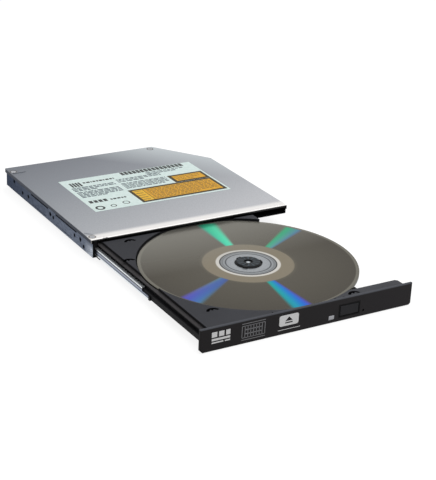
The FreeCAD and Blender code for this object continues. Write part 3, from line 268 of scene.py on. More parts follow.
def sheet_steel(name, dark, light, rough, metal):
    """Cold-rolled sheet steel, plated and pressed: a soft sheen with faint rolling lines along the drive.

    The lines are drawn half a millimetre wide, coarser than real ones, so that they show.
    """
    material, tree, inputs = finish(name, light, rough, metal)
    rolling = grain(tree, millimetres(tree), (0.5, 28.0, 0.5))
    mottle(tree, inputs, rolling, CLOUDY, dark, light)
    tree.links.new(add(tree, "MapRange", (rolling, *CLOUDY, rough - 0.05, rough + 0.07)), inputs["Roughness"])
    relief(tree, inputs, rolling, 0.25, 0.01)
    return material


def cover_steel():
    """Zinc-plated steel cover, pressed: a fine even speckle under a painted sheen that pales to the front
    right and at the rear right corner, a painted highlight on the folded lip in front, and painted shade on
    the lip's cut edge, round each screw and on the side flanges.

    The speckle is drawn coarser than the real one, so that it shows.
    """
    material, tree, inputs = finish("zinc_plated_cover", "9c9fa5", 0.5, 0.6)
    point = millimetres(tree)
    _, y, z = add(tree, "SeparateXYZ", (point,), out=None).outputs
    # Painted sheen: the cover's tone pales from the rear left to the front right
    ahead = add(tree, "VectorMath", (point, (0.36, -1.0, 0.0)), out="Value", operation="DOT_PRODUCT")
    share = add(tree, "MapRange", (ahead, *COVER_SHEEN_SPAN, 0.0, 1.0))
    tone = add(tree, "ValToRGB", (share,), stops=COVER_SHEEN_TONES)
    speckle = add(tree, "MapRange", (grain(tree, point, 0.8), *SPARSE, 0.0, 0.22))
    tone = add(tree, "Mix", {FACTOR: speckle, UNDER: tone, OVER: "62676f"}, **COLOURS)
    # Painted sheen: paler towards the rear right corner
    corner = add(tree, "VectorMath", (point, (1.0, 1.0, 0.0)), out="Value", operation="DOT_PRODUCT")
    corner = add(tree, "MapRange", (corner, *COVER_CORNER_SHEEN, 0.0, 0.9))
    tone = add(tree, "Mix", {FACTOR: corner, UNDER: tone, OVER: "c9d0d3"}, **COLOURS)
    # Painted highlight: the folded lip in front shows near white
    lip = add(tree, "MapRange", (y, *LIP_HIGHLIGHT, 0.0, 1.0))
    tone = add(tree, "Mix", {FACTOR: lip, UNDER: tone, OVER: "eae8e6"}, **COLOURS)
    # Painted shade: a dark ring round each screw head
    near = FAR
    for place in COVER_SCREWS:
        reach = add(tree, "VectorMath", (point, (*place, COVER_TOP)), out="Value", operation="DISTANCE")
        near = add(tree, "Math", (near, reach), operation="MINIMUM")
    screw_ring_shade = add(tree, "MapRange", (near, *SCREW_SHADE, 0.0, 0.85))
    tone = add(tree, "Mix", {FACTOR: screw_ring_shade, UNDER: tone, OVER: "453c32"}, **COLOURS)
    # Painted shade: the lip's cut edge goes black
    cut = add(tree, "MapRange", (y, *LIP_EDGE_SHADE, 0.0, 1.0))
    tone = add(tree, "Mix", {FACTOR: cut, UNDER: tone, OVER: "0a0a0b"}, **COLOURS)
    # Painted shade: the side flanges under the top edge go dark navy
    below = add(tree, "MapRange", (z, *FLANGE_BELOW, 0.0, 1.0))
    behind = add(tree, "MapRange", (y, *FLANGE_BEHIND, 0.0, 1.0))
    flange_shade = add(tree, "Math", (below, behind), operation="MULTIPLY")
    tone = add(tree, "Mix", {FACTOR: flange_shade, UNDER: tone, OVER: "1a2436"}, **COLOURS)
    tree.links.new(tone, inputs["Base Color"])
    relief(tree, inputs, grain(tree, point, 0.5), 0.2, 0.01)
    return material


def pan_steel():
    """Zinc-plated steel pan, drawn: slate side walls that darken to the rear, a patch of painted sheen low at
    the front of the side walls, a paler underside, and painted shade: black inside, on the front cut edge,
    and round the holes and grooves of the left wall.

    The speckle is drawn coarser than the real one, so that it shows. The tint keeps the walls from shining
    white at a low angle. Inside is where a surface faces the middle of the drive or up.
    """
    material, tree, inputs = finish("zinc_plated_pan", "4b5464", 0.5, 0.85, Specular_IOR_Level=0.1)
    inputs["Specular Tint"].default_value = (0.25, 0.25, 0.25, 1.0)
    point = millimetres(tree)
    x, y, z = add(tree, "SeparateXYZ", (point,), out=None).outputs
    facing = add(tree, "TexCoord", out="Normal")
    drop = add(tree, "VectorMath", (facing, (0.0, 0.0, -1.0)), out="Value", operation="DOT_PRODUCT")
    below = add(tree, "MapRange", (drop, *UNDERSIDE, 0.0, 1.0))
    behind = add(tree, "MapRange", (y, *PAN_REARWARD, 0.0, 1.0))
    wall = add(tree, "Mix", {FACTOR: behind, UNDER: "878f9f", OVER: "575f70"}, **COLOURS)
    tone = add(tree, "Mix", {FACTOR: below, UNDER: wall, OVER: "8b8d91"}, **COLOURS)
    # Painted sheen: a pale bluish patch low at the front of the side walls
    low = add(tree, "MapRange", (z, *PAN_SHEEN_BELOW, 0.0, 0.85))
    ahead = add(tree, "MapRange", (y, *PAN_SHEEN_AHEAD, 0.0, 1.0))
    beside = add(tree, "MapRange", (drop, *UNDERSIDE, 1.0, 0.0))
    painted_sheen = add(tree, "Math", (low, ahead), operation="MULTIPLY")
    painted_sheen = add(tree, "Math", (painted_sheen, beside), operation="MULTIPLY")
    tone = add(tree, "Mix", {FACTOR: painted_sheen, UNDER: tone, OVER: "dde4ef"}, **COLOURS)
    speckle = add(tree, "MapRange", (grain(tree, point, (0.9, 2.4, 0.7)), *SPARSE, 0.0, 0.5))
    weaker = add(tree, "MapRange", (drop, *UNDERSIDE, 1.0, 0.25))
    speckle = add(tree, "Math", (speckle, weaker), operation="MULTIPLY")
    tone = add(tree, "Mix", {FACTOR: speckle, UNDER: tone, OVER: "2c333f"}, **COLOURS)
    rim = FAR
    for along, up, radius in WALL_HOLES:
        reach = add(tree, "VectorMath", (point, (PAN_LEFT, along, up)), out="Value", operation="DISTANCE")
        reach = add(tree, "Math", (reach, radius), operation="SUBTRACT")
        rim = add(tree, "Math", (rim, reach), operation="MINIMUM")
    elsewhere = add(tree, "MapRange", (x, *LEFT_WALL, 0.0, FAR))
    for middle, half in WALL_GROOVES:
        reach = outside_box(tree, (y, middle, half), (z, GROOVE_Z, GROOVE_HALF))
        reach = add(tree, "Math", (reach, elsewhere), operation="ADD")
        rim = add(tree, "Math", (rim, reach), operation="MINIMUM")
    shade = add(tree, "MapRange", (rim, *HOLE_SHADE, 0.0, 0.9))
    tone = add(tree, "Mix", {FACTOR: shade, UNDER: tone, OVER: "0d1118"}, **COLOURS)
    # Painted shade: faces turned inwards or up, and the front cut edge, go black and lose their shine
    outwards = (point, (1 / 60, 1 / 60, 0.0), (0.0, 0.0, -1.0))
    outwards = add(tree, "VectorMath", outwards, operation="MULTIPLY_ADD")
    turned = add(tree, "VectorMath", (facing, outwards), out="Value", operation="DOT_PRODUCT")
    inside = add(tree, "MapRange", (turned, 0.05, -0.05, 0.0, 1.0))
    edge = add(tree, "MapRange", (y, *PAN_EDGE_SHADE, 0.0, 1.0))
    inside = add(tree, "Math", (inside, edge), operation="MAXIMUM")
    tone = add(tree, "Mix", {FACTOR: inside, UNDER: tone, OVER: "08080a"}, **COLOURS)
    tree.links.new(tone, inputs["Base Color"])
    tree.links.new(add(tree, "MapRange", (inside, 0.0, 1.0, 0.85, 0.0)), inputs["Metallic"])
    relief(tree, inputs, grain(tree, point, 0.5), 0.2, 0.01)
    return material


def rail_steel():
    """Bright-rolled stainless rail, folded: painted highlights on the flanges, lines of painted shade beside
    them, and a web that darkens to blue-grey at its foot.
    """
    material, tree, inputs = finish("bright_rail_steel", "aab1bb", 0.28, 0.9)
    point = millimetres(tree)
    height = add(tree, "SeparateXYZ", (point,), out="Z")
    share = add(tree, "MapRange", (height, *WEB_HEIGHT, 0.0, 1.0))
    # Painted highlights and shade: pale bands on the flanges, dark lines beside them
    tone = add(tree, "ValToRGB", (share,), stops=WEB_HIGHLIGHTS_AND_SHADE)
    streak = add(tree, "MapRange", (grain(tree, point, (0.4, 20.0, 0.4)), *CLOUDY, 0.0, 0.25))
    tone = add(tree, "Mix", {FACTOR: streak, UNDER: tone, OVER: "7c8592"}, **COLOURS)
    tree.links.new(tone, inputs["Base Color"])
    return material


def eroded(tree, inputs, point, size=ERODED, depth=ERODED_DEPTH):
    """The eroded grain of a mould, drawn coarser than the real one so that it keeps the surface matt."""
    relief(tree, inputs, grain(tree, point, size), 0.5, depth)


def moulding(name, dark, light, rough, size=ERODED, depth=ERODED_DEPTH, **sockets):
    """Injection-moulded ABS with a fine eroded grain, so that it stays matt at a low angle."""
    material, tree, inputs = finish(name, light, rough, **sockets)
    point = millimetres(tree)
    mottle(tree, inputs, grain(tree, point, 18.0), CLOUDY, dark, light)
    eroded(tree, inputs, point, size, depth)
    return material


def tray_plastic():
    """Moulded charcoal ABS: grey on the top face and ledges, paler towards the front right of the top face,
    and painted shade, near black, in its wells and walls.
    """
    material, tree, inputs = finish("charcoal_tray_plastic", "2e2f34", 0.62, Specular_IOR_Level=0.12)
    point = millimetres(tree)
    height = add(tree, "SeparateXYZ", (point,), out="Z")
    share = add(tree, "MapRange", (height, 0.0, TRAY_HEIGHT, 0.0, 1.0))
    # Painted shade by height: near black in the wells and walls
    tone = add(tree, "ValToRGB", (share,), stops=[(z / TRAY_HEIGHT, c) for z, c in TRAY_TONES_AND_SHADE])
    ahead = add(tree, "VectorMath", (point, (1.0, -0.6, 0.0)), out="Value", operation="DOT_PRODUCT")
    paler = add(tree, "MapRange", (ahead, *TRAY_FORWARD, 0.0, 1.0))
    top = add(tree, "MapRange", (height, *TRAY_FACE, 0.0, 1.0))
    paler = add(tree, "Math", (paler, top), operation="MULTIPLY")
    tone = add(tree, "Mix", {FACTOR: paler, UNDER: tone, OVER: "46474c"}, **COLOURS)
    cloud = add(tree, "MapRange", (grain(tree, point, 14.0), *CLOUDY, 0.0, 0.3))
    tone = add(tree, "Mix", {FACTOR: cloud, UNDER: tone, OVER: "26272b"}, **COLOURS)
    tree.links.new(tone, inputs["Base Color"])
    eroded(tree, inputs, point)
    return material


def bezel_plastic():
    """Moulded black ABS bezel: matt face a little paler to the right, a painted highlight along the top
    bevel, and painted shade, black, in the gap round the button.
    """
    material, tree, inputs = finish("black_bezel_plastic", "202024", 0.6, Specular_IOR_Level=0.12)
    point = millimetres(tree)
    x, _, z = add(tree, "SeparateXYZ", (point,), out=None).outputs
    share = add(tree, "MapRange", (x, *BEZEL_ENDS, 0.0, 1.0))
    tone = add(tree, "Mix", {FACTOR: share, UNDER: "222021", OVER: "2d2b2d"}, **COLOURS)
    # Painted highlight along the top bevel
    bevel = add(tree, "MapRange", (z, *BEVEL_HIGHLIGHT, 0.0, 1.0))
    tone = add(tree, "Mix", {FACTOR: bevel, UNDER: tone, OVER: "4a4c52"}, **COLOURS)
    # Painted shade: black in the gap round the button
    away = outside_box(tree, (x, BUTTON_AT[0], BUTTON_HALF[0]), (z, BUTTON_AT[1], BUTTON_HALF[1]))
    gap = add(tree, "MapRange", (away, *BUTTON_GAP_SHADE, 0.0, 1.0))
    tone = add(tree, "Mix", {FACTOR: gap, UNDER: tone, OVER: "040405"}, **COLOURS)
    tree.links.new(tone, inputs["Base Color"])
    eroded(tree, inputs, point)
    return material


def hub_plastic():
    """Moulded dark acetal hub: twelve sprung fingers round a ground steel shaft end."""
    material, tree, inputs = finish("dark_hub_plastic", "22282d", 0.5, Specular_IOR_Level=0.15)
    radius, angle, _ = about_disc(tree, millimetres(tree))
    wave = add(tree, "Math", (angle, 12.0), operation="MULTIPLY")
    wave = add(tree, "Math", (wave,), operation="COSINE")
    share = add(tree, "MapRange", (radius, 0.0, HUB_RADIUS, 0.0, 1.0))
    tone = add(tree, "ValToRGB", (share,), stops=[(r / HUB_RADIUS, c) for r, c in HUB_TONES])
    finger = add(tree, "MapRange", (wave, 0.35, 0.75, 0.0, 1.0))
    begins = add(tree, "MapRange", (radius, *FINGERS_BEGIN, 0.0, 1.0))
    ends = add(tree, "MapRange", (radius, *FINGERS_END, 0.0, 1.0))
    within = add(tree, "Math", (begins, ends), operation="MULTIPLY")
    finger = add(tree, "Math", (finger, within), operation="MULTIPLY")
    tone = add(tree, "Mix", {FACTOR: finger, UNDER: tone, OVER: "3c464d"}, **COLOURS)
    tree.links.new(tone, inputs["Base Color"])
    return material


def printed_paper(name, dark, light):
    """Coated label paper, printed: even, with the slightest mottle."""
    material, tree, inputs = finish(name, light, 0.55, Specular_IOR_Level=0.25)
    mottle(tree, inputs, grain(tree, millimetres(tree), 2.5), (0.35, 0.65), dark, light)
    return material


def circuit_board():
    """Green solder mask over straight etched copper tracks, a little raised.

    The tracks lie 1.6 mm apart, wider than real ones, so that they show.
    """
    material, tree, inputs = finish("solder_mask", "1c5a34", 0.35)
    scaled = add(tree, "VectorMath", {0: millimetres(tree), "Scale": 0.45}, operation="SCALE")
    brick = {"Vector": scaled, "Scale": 1.0, "Mortar Size": 0.12, "Brick Width": 2.6, "Row Height": 0.7}
    tracks = add(tree, "TexBrick", brick, out="Fac")
    colour = add(tree, "Mix", {FACTOR: tracks, UNDER: "17502d", OVER: "2f7a46"}, **COLOURS)
    tree.links.new(colour, inputs["Base Color"])
    relief(tree, inputs, tracks, 0.4, 0.03)
    return material


def disc_surface():
    """Polycarbonate disc over a dyed, grooved layer: silver hub rings, a tan band, flashes of colour, and a
    painted sheen that pales its rear.

    The grooves are too fine to show, so their flashes are painted as wedges, and the hub's pits are drawn
    coarser than real ones. The tint keeps the disc from shining white at a low angle.
    """
    coat = {"Coat_Weight": 0.06, "Coat_Roughness": 0.04}
    material, tree, inputs = finish("disc_dye_side", "5a574f", 0.27, 0.6, Specular_IOR_Level=0.2, **coat)
    inputs["Specular Tint"].default_value = (0.35, 0.35, 0.35, 1.0)
    point = millimetres(tree)
    radius, angle, rearward = about_disc(tree, point)
    share = add(tree, "Math", (radius, DISC_RADIUS), operation="DIVIDE")
    colour = add(tree, "ValToRGB", (share,), stops=[(r / DISC_RADIUS, c) for r, c in DISC_TONES])
    pits = add(tree, "MapRange", (grain(tree, point, 0.7), 0.45, 0.7, 0.0, 0.5))
    silver = add(tree, "MapRange", (radius, *SILVER_ENDS, 0.0, 1.0))
    pits = add(tree, "Math", (pits, silver), operation="MULTIPLY")
    colour = add(tree, "Mix", {FACTOR: pits, UNDER: colour, OVER: "7b7f83"}, **COLOURS)
    # Painted sheen: the disc pales towards its rear
    paler = add(tree, "MapRange", (rearward, *DISC_REAR_SHEEN, 0.0, 0.8))
    colour = add(tree, "Mix", {FACTOR: paler, UNDER: colour, OVER: "98968e"}, **COLOURS)
    begins = add(tree, "MapRange", (radius, *DYE_BEGINS, 0.0, 1.0))
    ends = add(tree, "MapRange", (radius, *DYE_ENDS, 1.0, 0.0))
    dyed = add(tree, "Math", (begins, ends), operation="MULTIPLY")
    rimward = add(tree, "MapRange", (radius, *DYE_HUES, 0.0, 1.0))
    for middle, half, near_hub, near_rim in STREAKS:
        off = add(tree, "Math", (angle, math.radians(middle)), operation="SUBTRACT")
        side = add(tree, "Math", (off,), operation="SINE")
        side = add(tree, "Math", (side, math.sin(math.radians(half))), operation="DIVIDE")
        same_half = add(tree, "Math", (off,), operation="COSINE")
        same_half = add(tree, "Math", (same_half, 0.0), operation="GREATER_THAN")
        edge = add(tree, "Math", (side,), operation="ABSOLUTE")
        soft = add(tree, "MapRange", (edge, 0.55, 1.12, 1.0, 0.0), interpolation_type="SMOOTHSTEP")
        soft = add(tree, "Math", (soft, same_half), operation="MULTIPLY")
        soft = add(tree, "Math", (soft, dyed), operation="MULTIPLY")
        across = add(tree, "MapRange", (side, -1.0, 1.0, 0.0, 1.0))
        inner, outer = (
            add(tree, "ValToRGB", (across,), stops=[(i / 3, c) for i, c in enumerate(hues)])
            for hues in (near_hub, near_rim)
        )
        flash = add(tree, "Mix", {FACTOR: rimward, UNDER: inner, OVER: outer}, **COLOURS)
        colour = add(tree, "Mix", {FACTOR: soft, UNDER: colour, OVER: flash}, **COLOURS)
    tree.links.new(colour, inputs["Base Color"])
    return material


# Materials of the real surfaces: the pressed steel parts and the tray, bezel, hub, board and disc

COVER = cover_steel()
PAN = pan_steel()
RAIL = rail_steel()
TRAY = tray_plastic()
BEZEL = bezel_plastic()
HUB = hub_plastic()
BOARD = circuit_board()
DISC = disc_surface()
# Sheet with a dull black coat, soft grey plate, bright nickel, and matt cast metal
DARK_STEEL = sheet_steel("black_coated_sheet", "1b1b1e", "26262a", 0.5, 0.3)
MOTOR = sheet_steel("motor_plate_steel", "6e7076", "8b8d92", 0.4, 0.8)
SCREW = sheet_steel("nickel_plated_screw", "a9abb0", "c6c8cc", 0.32, 0.9)
SLED = sheet_steel("die_cast_sled", "85888e", "a2a5aa", 0.5, 0.7)
# Ground steel that mirrors, and painted shade, dead black, laid over the finger slots
ROD = finish("ground_rod_steel", "c9cdd2", 0.12, 1.0)[0]
SLOT_SHADE = finish("finger_slot_shade", "050506", 0.9, Specular_IOR_Level=0.0)[0]
# Black mouldings with a faint sheen, dull rubber and epoxy, ivory plastic, grey film, glossy copper wire
BUTTON = moulding("black_button_plastic", "212124", "28282b", 0.55, Specular_IOR_Level=0.15)
GUIDE = moulding("black_guide_plastic", "0e0e10", "161618", 0.5, Specular_IOR_Level=0.12)
RUBBER = moulding("damper_rubber", "131313", "1b1b1b", 0.8, 0.2)
CHIP = moulding("chip_package", "1b1b1d", "252528", 0.5, 0.15)
SOCKET = moulding("ivory_socket", "cfc8ad", "ddd7c0", 0.5)
FILM = moulding("cable_film", "b9bec4", "ccd1d6", 0.35, 2.0, 0.01)
WINDING = moulding("enamelled_winding", "7a3f1c", "a35a2a", 0.35, 0.15, 0.05)
# Pale green-white label, warm amber stickers with an olive border, and their matt inks
PAPER = printed_paper("label_paper", "d6e8e4", "e1f0ed")
AMBER = printed_paper("amber_sticker", "cf981a", "e6ac2c")
PALE_AMBER = printed_paper("pale_amber_sticker", "e2b02a", "ecbc3a")
AMBER_BORDER = printed_paper("olive_sticker_border", "32280a", "3d320f")
INK = finish("label_ink", "16191b", 0.6)[0]
PALE_INK = finish("label_small_print", "414d59", 0.6)[0]
AMBER_INK = finish("sticker_ink", "7d5a14", 0.6)[0]
MARK = finish("bezel_mark_white", "fafafa", 0.6)[0]
GREY_MARK = finish("bezel_mark_grey", "8a8a8d", 0.6)[0]
# Clear bluish glass, and a pale milky lamp window
LENS = finish("coated_lens_glass", "7f93c4", 0.03, Transmission_Weight=0.7, IOR=1.5)[0]
LAMP = finish("lamp_plastic", "c4c5cb", 0.3)[0]

LOOKS = {
    "base_pan": PAN, "top_cover": COVER, "cover_screws": SCREW, "label_sheet": PAPER, "left_guide": GUIDE,
    "right_guide": GUIDE, "latch_post": ROD, "main_board": BOARD, "board_chips": CHIP, "rear_connector": CHIP,
    "board_flex_socket": SOCKET, "tray_flex_socket": SOCKET, "left_rail": RAIL, "right_rail": RAIL,
    "left_rail_stop": GUIDE, "right_rail_stop": GUIDE, "tray_frame": TRAY, "bezel": BEZEL,
    "eject_button": BUTTON, "led_window": LAMP, "tray_board": BOARD, "eject_switch": CHIP,
    "under_plate": DARK_STEEL, "traverse_chassis": MOTOR, "chassis_dampers": RUBBER, "guide_rods": ROD,
    "sled_motor": MOTOR, "pickup_sled": SLED, "lens_holder": HUB, "lens": LENS, "spindle_base": MOTOR,
    "spindle_bearing": WINDING, "spindle_stator": WINDING, "spindle_rotor": MOTOR, "turntable_pad": RUBBER,
    "disc_hub": HUB, "hub_pawls": HUB, "disc": DISC, "latch_lever": DARK_STEEL, "latch_pin": ROD,
    "latch_magnet": WINDING,
}


# Meshes


def mesh_object(name, shape, material, body=None, smooth=False):
    """A mesh from points in millimetres and faces, with one material, riding on a body where one is given."""
    points, faces = shape
    mesh = bpy.data.meshes.new(name)
    mesh.from_pydata((np.asarray(points, float) * 0.001).tolist(), [], [list(face) for face in faces])
    mesh.polygons.foreach_set("use_smooth", [smooth] * len(mesh.polygons))
    mesh.update()
    mesh.materials.append(material)
    obj = bpy.data.objects.new(name, mesh)
    bpy.context.scene.collection.objects.link(obj)
    if body:
        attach(obj, body)
    return obj


def grid_faces(rows, columns, wrap=False):
    """Quads of a grid of points, closed round its columns if wrapped."""
    index = np.arange(rows * columns).reshape(rows, columns)
    right = np.roll(index, -1, axis=1) if wrap else index[:, 1:]
    left = index if wrap else index[:, :-1]
    return np.stack([left[:-1], right[:-1], right[1:], left[1:]], axis=-1).reshape(-1, 4)


def copies(shape, faces, places):
    """A shape at several places: its points moved by x and y, its faces counted on."""
    points = np.concatenate([shape + (x, y, 0.0) for x, y in places])
    return points, np.concatenate([faces + i * len(shape) for i in range(len(places))])


def plates(rects, low, high, on_front=False):
    """Thin plates, a top and four sides each, from rows of x from, x to, y from and y to.

    On the front, y and z change places: the last two are heights, and low and high lie ahead of the origin.
    """
    x0, x1, a0, a1 = np.asarray(rects, float).T
    levels = np.full_like(x0, low), np.full_like(x0, high)
    corners = [(x, a, b) for b in levels for x, a in ((x0, a0), (x1, a0), (x1, a1), (x0, a1))]
    if on_front:
        corners = [(x, -b, a) for x, a, b in corners]
    points = np.stack([np.stack(corner, axis=-1) for corner in corners], axis=1).reshape(-1, 3)
    box = np.array([[4, 5, 6, 7], [0, 1, 5, 4], [1, 2, 6, 5], [2, 3, 7, 6], [3, 0, 4, 7]])
    faces = (box[None] + 8 * np.arange(len(rects))[:, None, None]).reshape(-1, 4)
    return points, faces


def flat_ring(centre, inner, outer, low, high):
    """A ring: a rectangle from the inner to the outer radius and from low to high, carried round a circle."""
    columns = 40
    turn = np.linspace(0, 2 * np.pi, columns, endpoint=False)
    r = np.array([inner, inner, outer, outer, inner])[:, None]
    z = np.array([low, high, high, low, low])[:, None]
    points = np.stack([centre[0] + r * np.cos(turn), centre[1] + r * np.sin(turn), z + 0 * turn], axis=-1)
    return points.reshape(-1, 3), grid_faces(len(r), columns, wrap=True)[:, ::-1]


def word_rows(random, left, right, top, rows, height, pitch, longest):
    """Print too fine to show: rows of plain bars, one a word, with even gaps. The last row ends early."""
    gap = 0.6
    bars = []
    for row in range(rows):
        y = top - row * pitch - height
        x, end = left, right if row < rows - 1 else left + (right - left) * random.uniform(0.45, 0.9)
        while x < end - gap:
            wide = min(random.uniform(0.3, 1.0) * longest, end - x)
            bars.append((x, x + wide, y, y + height))
            x += wide + gap
    return bars


def screw_heads(name, body, places, face, height, down):
    """Cross-recessed screws: the head's top is a low dome less a cross-shaped pit, over a tapered shank.

    Height over the face is height * (1 - (r / radius)^4 / 2), less the pit where a point is in the cross.
    A negative height makes heads that hang from a face.
    """
    columns, steps = 48, 15
    head, shank, tip = 1.6, 0.8, 0.01
    arm_half, arm_length, slope, pit = 0.22, 0.62 * head, 0.08, 0.35
    turn = np.linspace(0, 2 * np.pi, columns, endpoint=False)
    r = np.linspace(0.02, 1.0, steps)[:, None] * head
    x, y = r * np.cos(turn), r * np.sin(turn)
    narrow, wide = np.minimum(abs(x), abs(y)), np.maximum(abs(x), abs(y))
    cross = np.clip((arm_half - narrow) / slope, 0, 1) * np.clip((arm_length - wide) / slope, 0, 1)
    sign = math.copysign(1.0, height)
    top = face + height * (1 - 0.5 * (r / head) ** 4) - sign * pit * cross
    r = np.array([head, shank, tip])[:, None]
    under = face - sign * np.array([0.0, down, down])[:, None] + 0 * turn
    under = np.stack([r * np.cos(turn), r * np.sin(turn), under], axis=-1)
    shape = np.concatenate([np.stack([x, y, top], axis=-1), under]).reshape(-1, 3)
    faces = grid_faces(steps + len(r), columns, wrap=True)
    faces = faces[:, ::-1] if sign > 0 else faces
    return mesh_object(name, copies(shape, faces, places), SCREW, body)


# Pieces


def dress_nodes():
    """Each carried-over node takes the finish of the real piece."""
    for name, material in LOOKS.items():
        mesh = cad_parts[name].data
        mesh.materials.clear()
        mesh.materials.append(material)


def on_label(name, rects, top, material, low=LABEL_TOP):
    """Plates on the label from rows of x from, x to, and from and to behind the case's front."""
    rects = np.asarray(rects, float) + (0.0, 0.0, CASE_FRONT, CASE_FRONT)
    return mesh_object(name, plates(rects, low, top), material, "case")


def label_print():
    """Rows of plain bars for the print, and blocks, bars and rings, on the white label."""
    random = np.random.default_rng(4)
    bold = word_rows(random, -31.0, -7.0, 83.6, 1, 2.0, 3.0, 2.4)
    bold += word_rows(random, -27.5, -12.0, 52.3, 1, 1.8, 3.0, 2.2)
    bold += [(x, x + 2.3, 49.8, 53.6) for x in (-41.2, -38.1, -35.0, -31.9)]
    bold += [(x, x + 1.3, 77.8, 84.6) for x in (-39.8, -37.9, -36.0, -34.1)]
    for x in np.arange(-3.0, 41.0, 2.75):
        thick = float(random.choice([1.2, 1.5]))
        bold += [(x, x + thick, 84.8, 89.8), (x + thick + 0.12, x + 2.2, 84.8, 89.8)]
    small = word_rows(random, -41.5, -13.0, 76.5, 3, 1.3, 2.2, 4.2)
    small += word_rows(random, -41.5, -13.5, 69.0, 5, 1.2, 2.0, 4.2)
    small += word_rows(random, -10.5, 20.0, 79.6, 3, 1.1, 2.0, 4.2)
    small += word_rows(random, -10.5, 20.0, 72.2, 5, 1.1, 2.0, 4.2)
    small += word_rows(random, 12.0, 39.0, 83.4, 2, 1.1, 2.1, 4.2)
    on_label("label_small_print", small, PRINT_TOP, PALE_INK)
    on_label("label_print", bold, PRINT_TOP, INK)
    rings = ((-38.9, 41.4, 1.7, 3.0), (-30.1, 41.6, 1.3, 1.9), (-21.1, 43.2, 1.7, 2.3))
    for x, behind, inner, outer in rings:
        ring = flat_ring((x, CASE_FRONT + behind), inner, outer, LABEL_TOP, PRINT_TOP)
        mesh_object("label_ring_%d" % -x, ring, INK, "case")


def stickers():
    """Two amber stickers with olive borders, a paler column and rows of plain bars."""
    large, small = (-12.0, 45.8, 38.6, 60.0), (21.6, 45.8, 60.2, 72.5)
    borders = on_label("sticker_borders", [large, small], PRINT_TOP, AMBER_BORDER)
    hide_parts("label_panels")
    wide = [(-2.9, 43.9, 40.7, 58.0), (23.8, 44.0, 62.2, 70.6)]
    on_label("sticker_faces", wide, STICKER_TOP, AMBER)
    on_label("sticker_column", [(-10.0, -3.3, 40.7, 58.0)], STICKER_TOP, PALE_AMBER)
    random = np.random.default_rng(9)
    bars = word_rows(random, -1.5, 42.6, 57.0, 8, 0.9, 2.05, 3.0)
    bars += word_rows(random, 25.2, 42.6, 69.2, 3, 0.7, 2.3, 3.0)
    bars += [(-9.6, -4.8, behind, behind + 0.8) for behind in (42.4, 45.8, 49.2, 52.6, 55.9)]
    on_label("sticker_print", bars, STICKER_PRINT_TOP, AMBER_INK, low=STICKER_TOP)


def bezel_marks():
    """Generic marks on the bezel: bars and blocks at the left, a grid, and a plate with an arrow over a bar.

    The plate's outline is four quarter circles round the corners of a smaller rectangle.
    """
    low, high = BEZEL_FACE - 0.02, BEZEL_FACE + 0.01
    white = [(-57.6, -54.6, 7.4, 10.2), (-53.6, -50.6, 7.4, 10.2), (-49.6, -47.2, 7.4, 10.2)]
    white += [(-57.6, -47.2, 5.5, 6.7), (-57.6, -51.0, 4.1, 4.8), (-50.2, -47.2, 4.1, 4.8)]
    white += [(-19.4, -6.2, 2.6, 2.9)]
    mesh_object("bezel_white_marks", plates(white, low, high, True), MARK, "tray")
    line = 0.35
    grid = [(-40.6, -27.0, z, z + line) for z in (2.0, 3.2, 9.6, 10.8)]
    grid += [(x, x + line, 3.2, 9.9) for x in np.linspace(-40.6, -27.4, 9)]
    grid += [(-38.5, -29.2, z, z + 0.5) for z in (5.2, 7.4)]
    mesh_object("bezel_line_marks", plates(grid, low, high, True), GREY_MARK, "tray")
    centre_x, centre_z, half_x, half_z, corner = -13.1, 7.7, 5.75, 3.0, 1.2
    starts = np.array([0.0, 90.0, 180.0, 270.0])
    turn = np.radians(np.linspace(starts, starts + 90.0, 7, axis=1))
    side_x, side_z = np.array([[1], [-1], [-1], [1]]), np.array([[1], [1], [-1], [-1]])
    x = centre_x + side_x * (half_x - corner) + corner * np.cos(turn)
    z = centre_z + side_z * (half_z - corner) + corner * np.sin(turn)
    outline = np.stack([x, np.full(x.shape, -BEZEL_FACE - 0.01), z], axis=-1).reshape(-1, 3)
    mesh_object("bezel_plate_mark", (outline, [range(len(outline))]), MARK, "tray")
    arrow = [(-2.2, -0.4), (2.2, -0.4), (0.0, 1.8)]
    bar = [(-2.2, -1.7), (2.2, -1.7), (2.2, -1.0), (-2.2, -1.0)]
    x, z = np.array(arrow + bar).T
    points = np.stack([centre_x + x, np.full(x.shape, -BEZEL_FACE - 0.02), centre_z + z], axis=-1)
    faces = [[0, 1, 2], [3, 4, 5, 6]]
    mesh_object("bezel_arrow_mark", (points, faces), BEZEL, "tray")


def fasteners():
    """Cover screws with cross recesses, the under plate's screws and the main board's screws."""
    cover = screw_heads("cover_screw_heads", "case", COVER_SCREWS, COVER_TOP - 0.05, 0.05, 0.6)
    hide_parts("cover_screws")
    screw_heads("under_plate_screws", "tray", UNDER_PLATE_SCREWS, UNDER_PLATE_FACE, -0.38, 0.3)
    screw_heads("board_screws", "case", BOARD_SCREWS, BOARD_TOP, 0.5, 0.9)


def finger_slots():
    """Shade in the tray's finger slots: part rings of constant width, and a short stem inside each."""
    columns = 25
    turn = np.radians(np.linspace(12.0, 168.0, columns))
    r = np.array([3.75, 2.35])[:, None]
    arc = np.stack([r * np.cos(turn), r * np.sin(turn)], axis=-1).reshape(-1, 2)
    outline = np.concatenate([arc, [(-0.55, 1.3), (0.55, 1.3), (0.55, 2.5), (-0.55, 2.5)]])
    shape = np.column_stack([outline, np.full(len(outline), TRAY_TOP + 0.01)])
    stem = len(arc) + np.arange(4)
    faces = np.concatenate([grid_faces(2, columns)[:, ::-1], [stem]])
    mesh_object("finger_slot_shade", copies(shape, faces, FINGER_SLOTS), SLOT_SHADE, "tray")


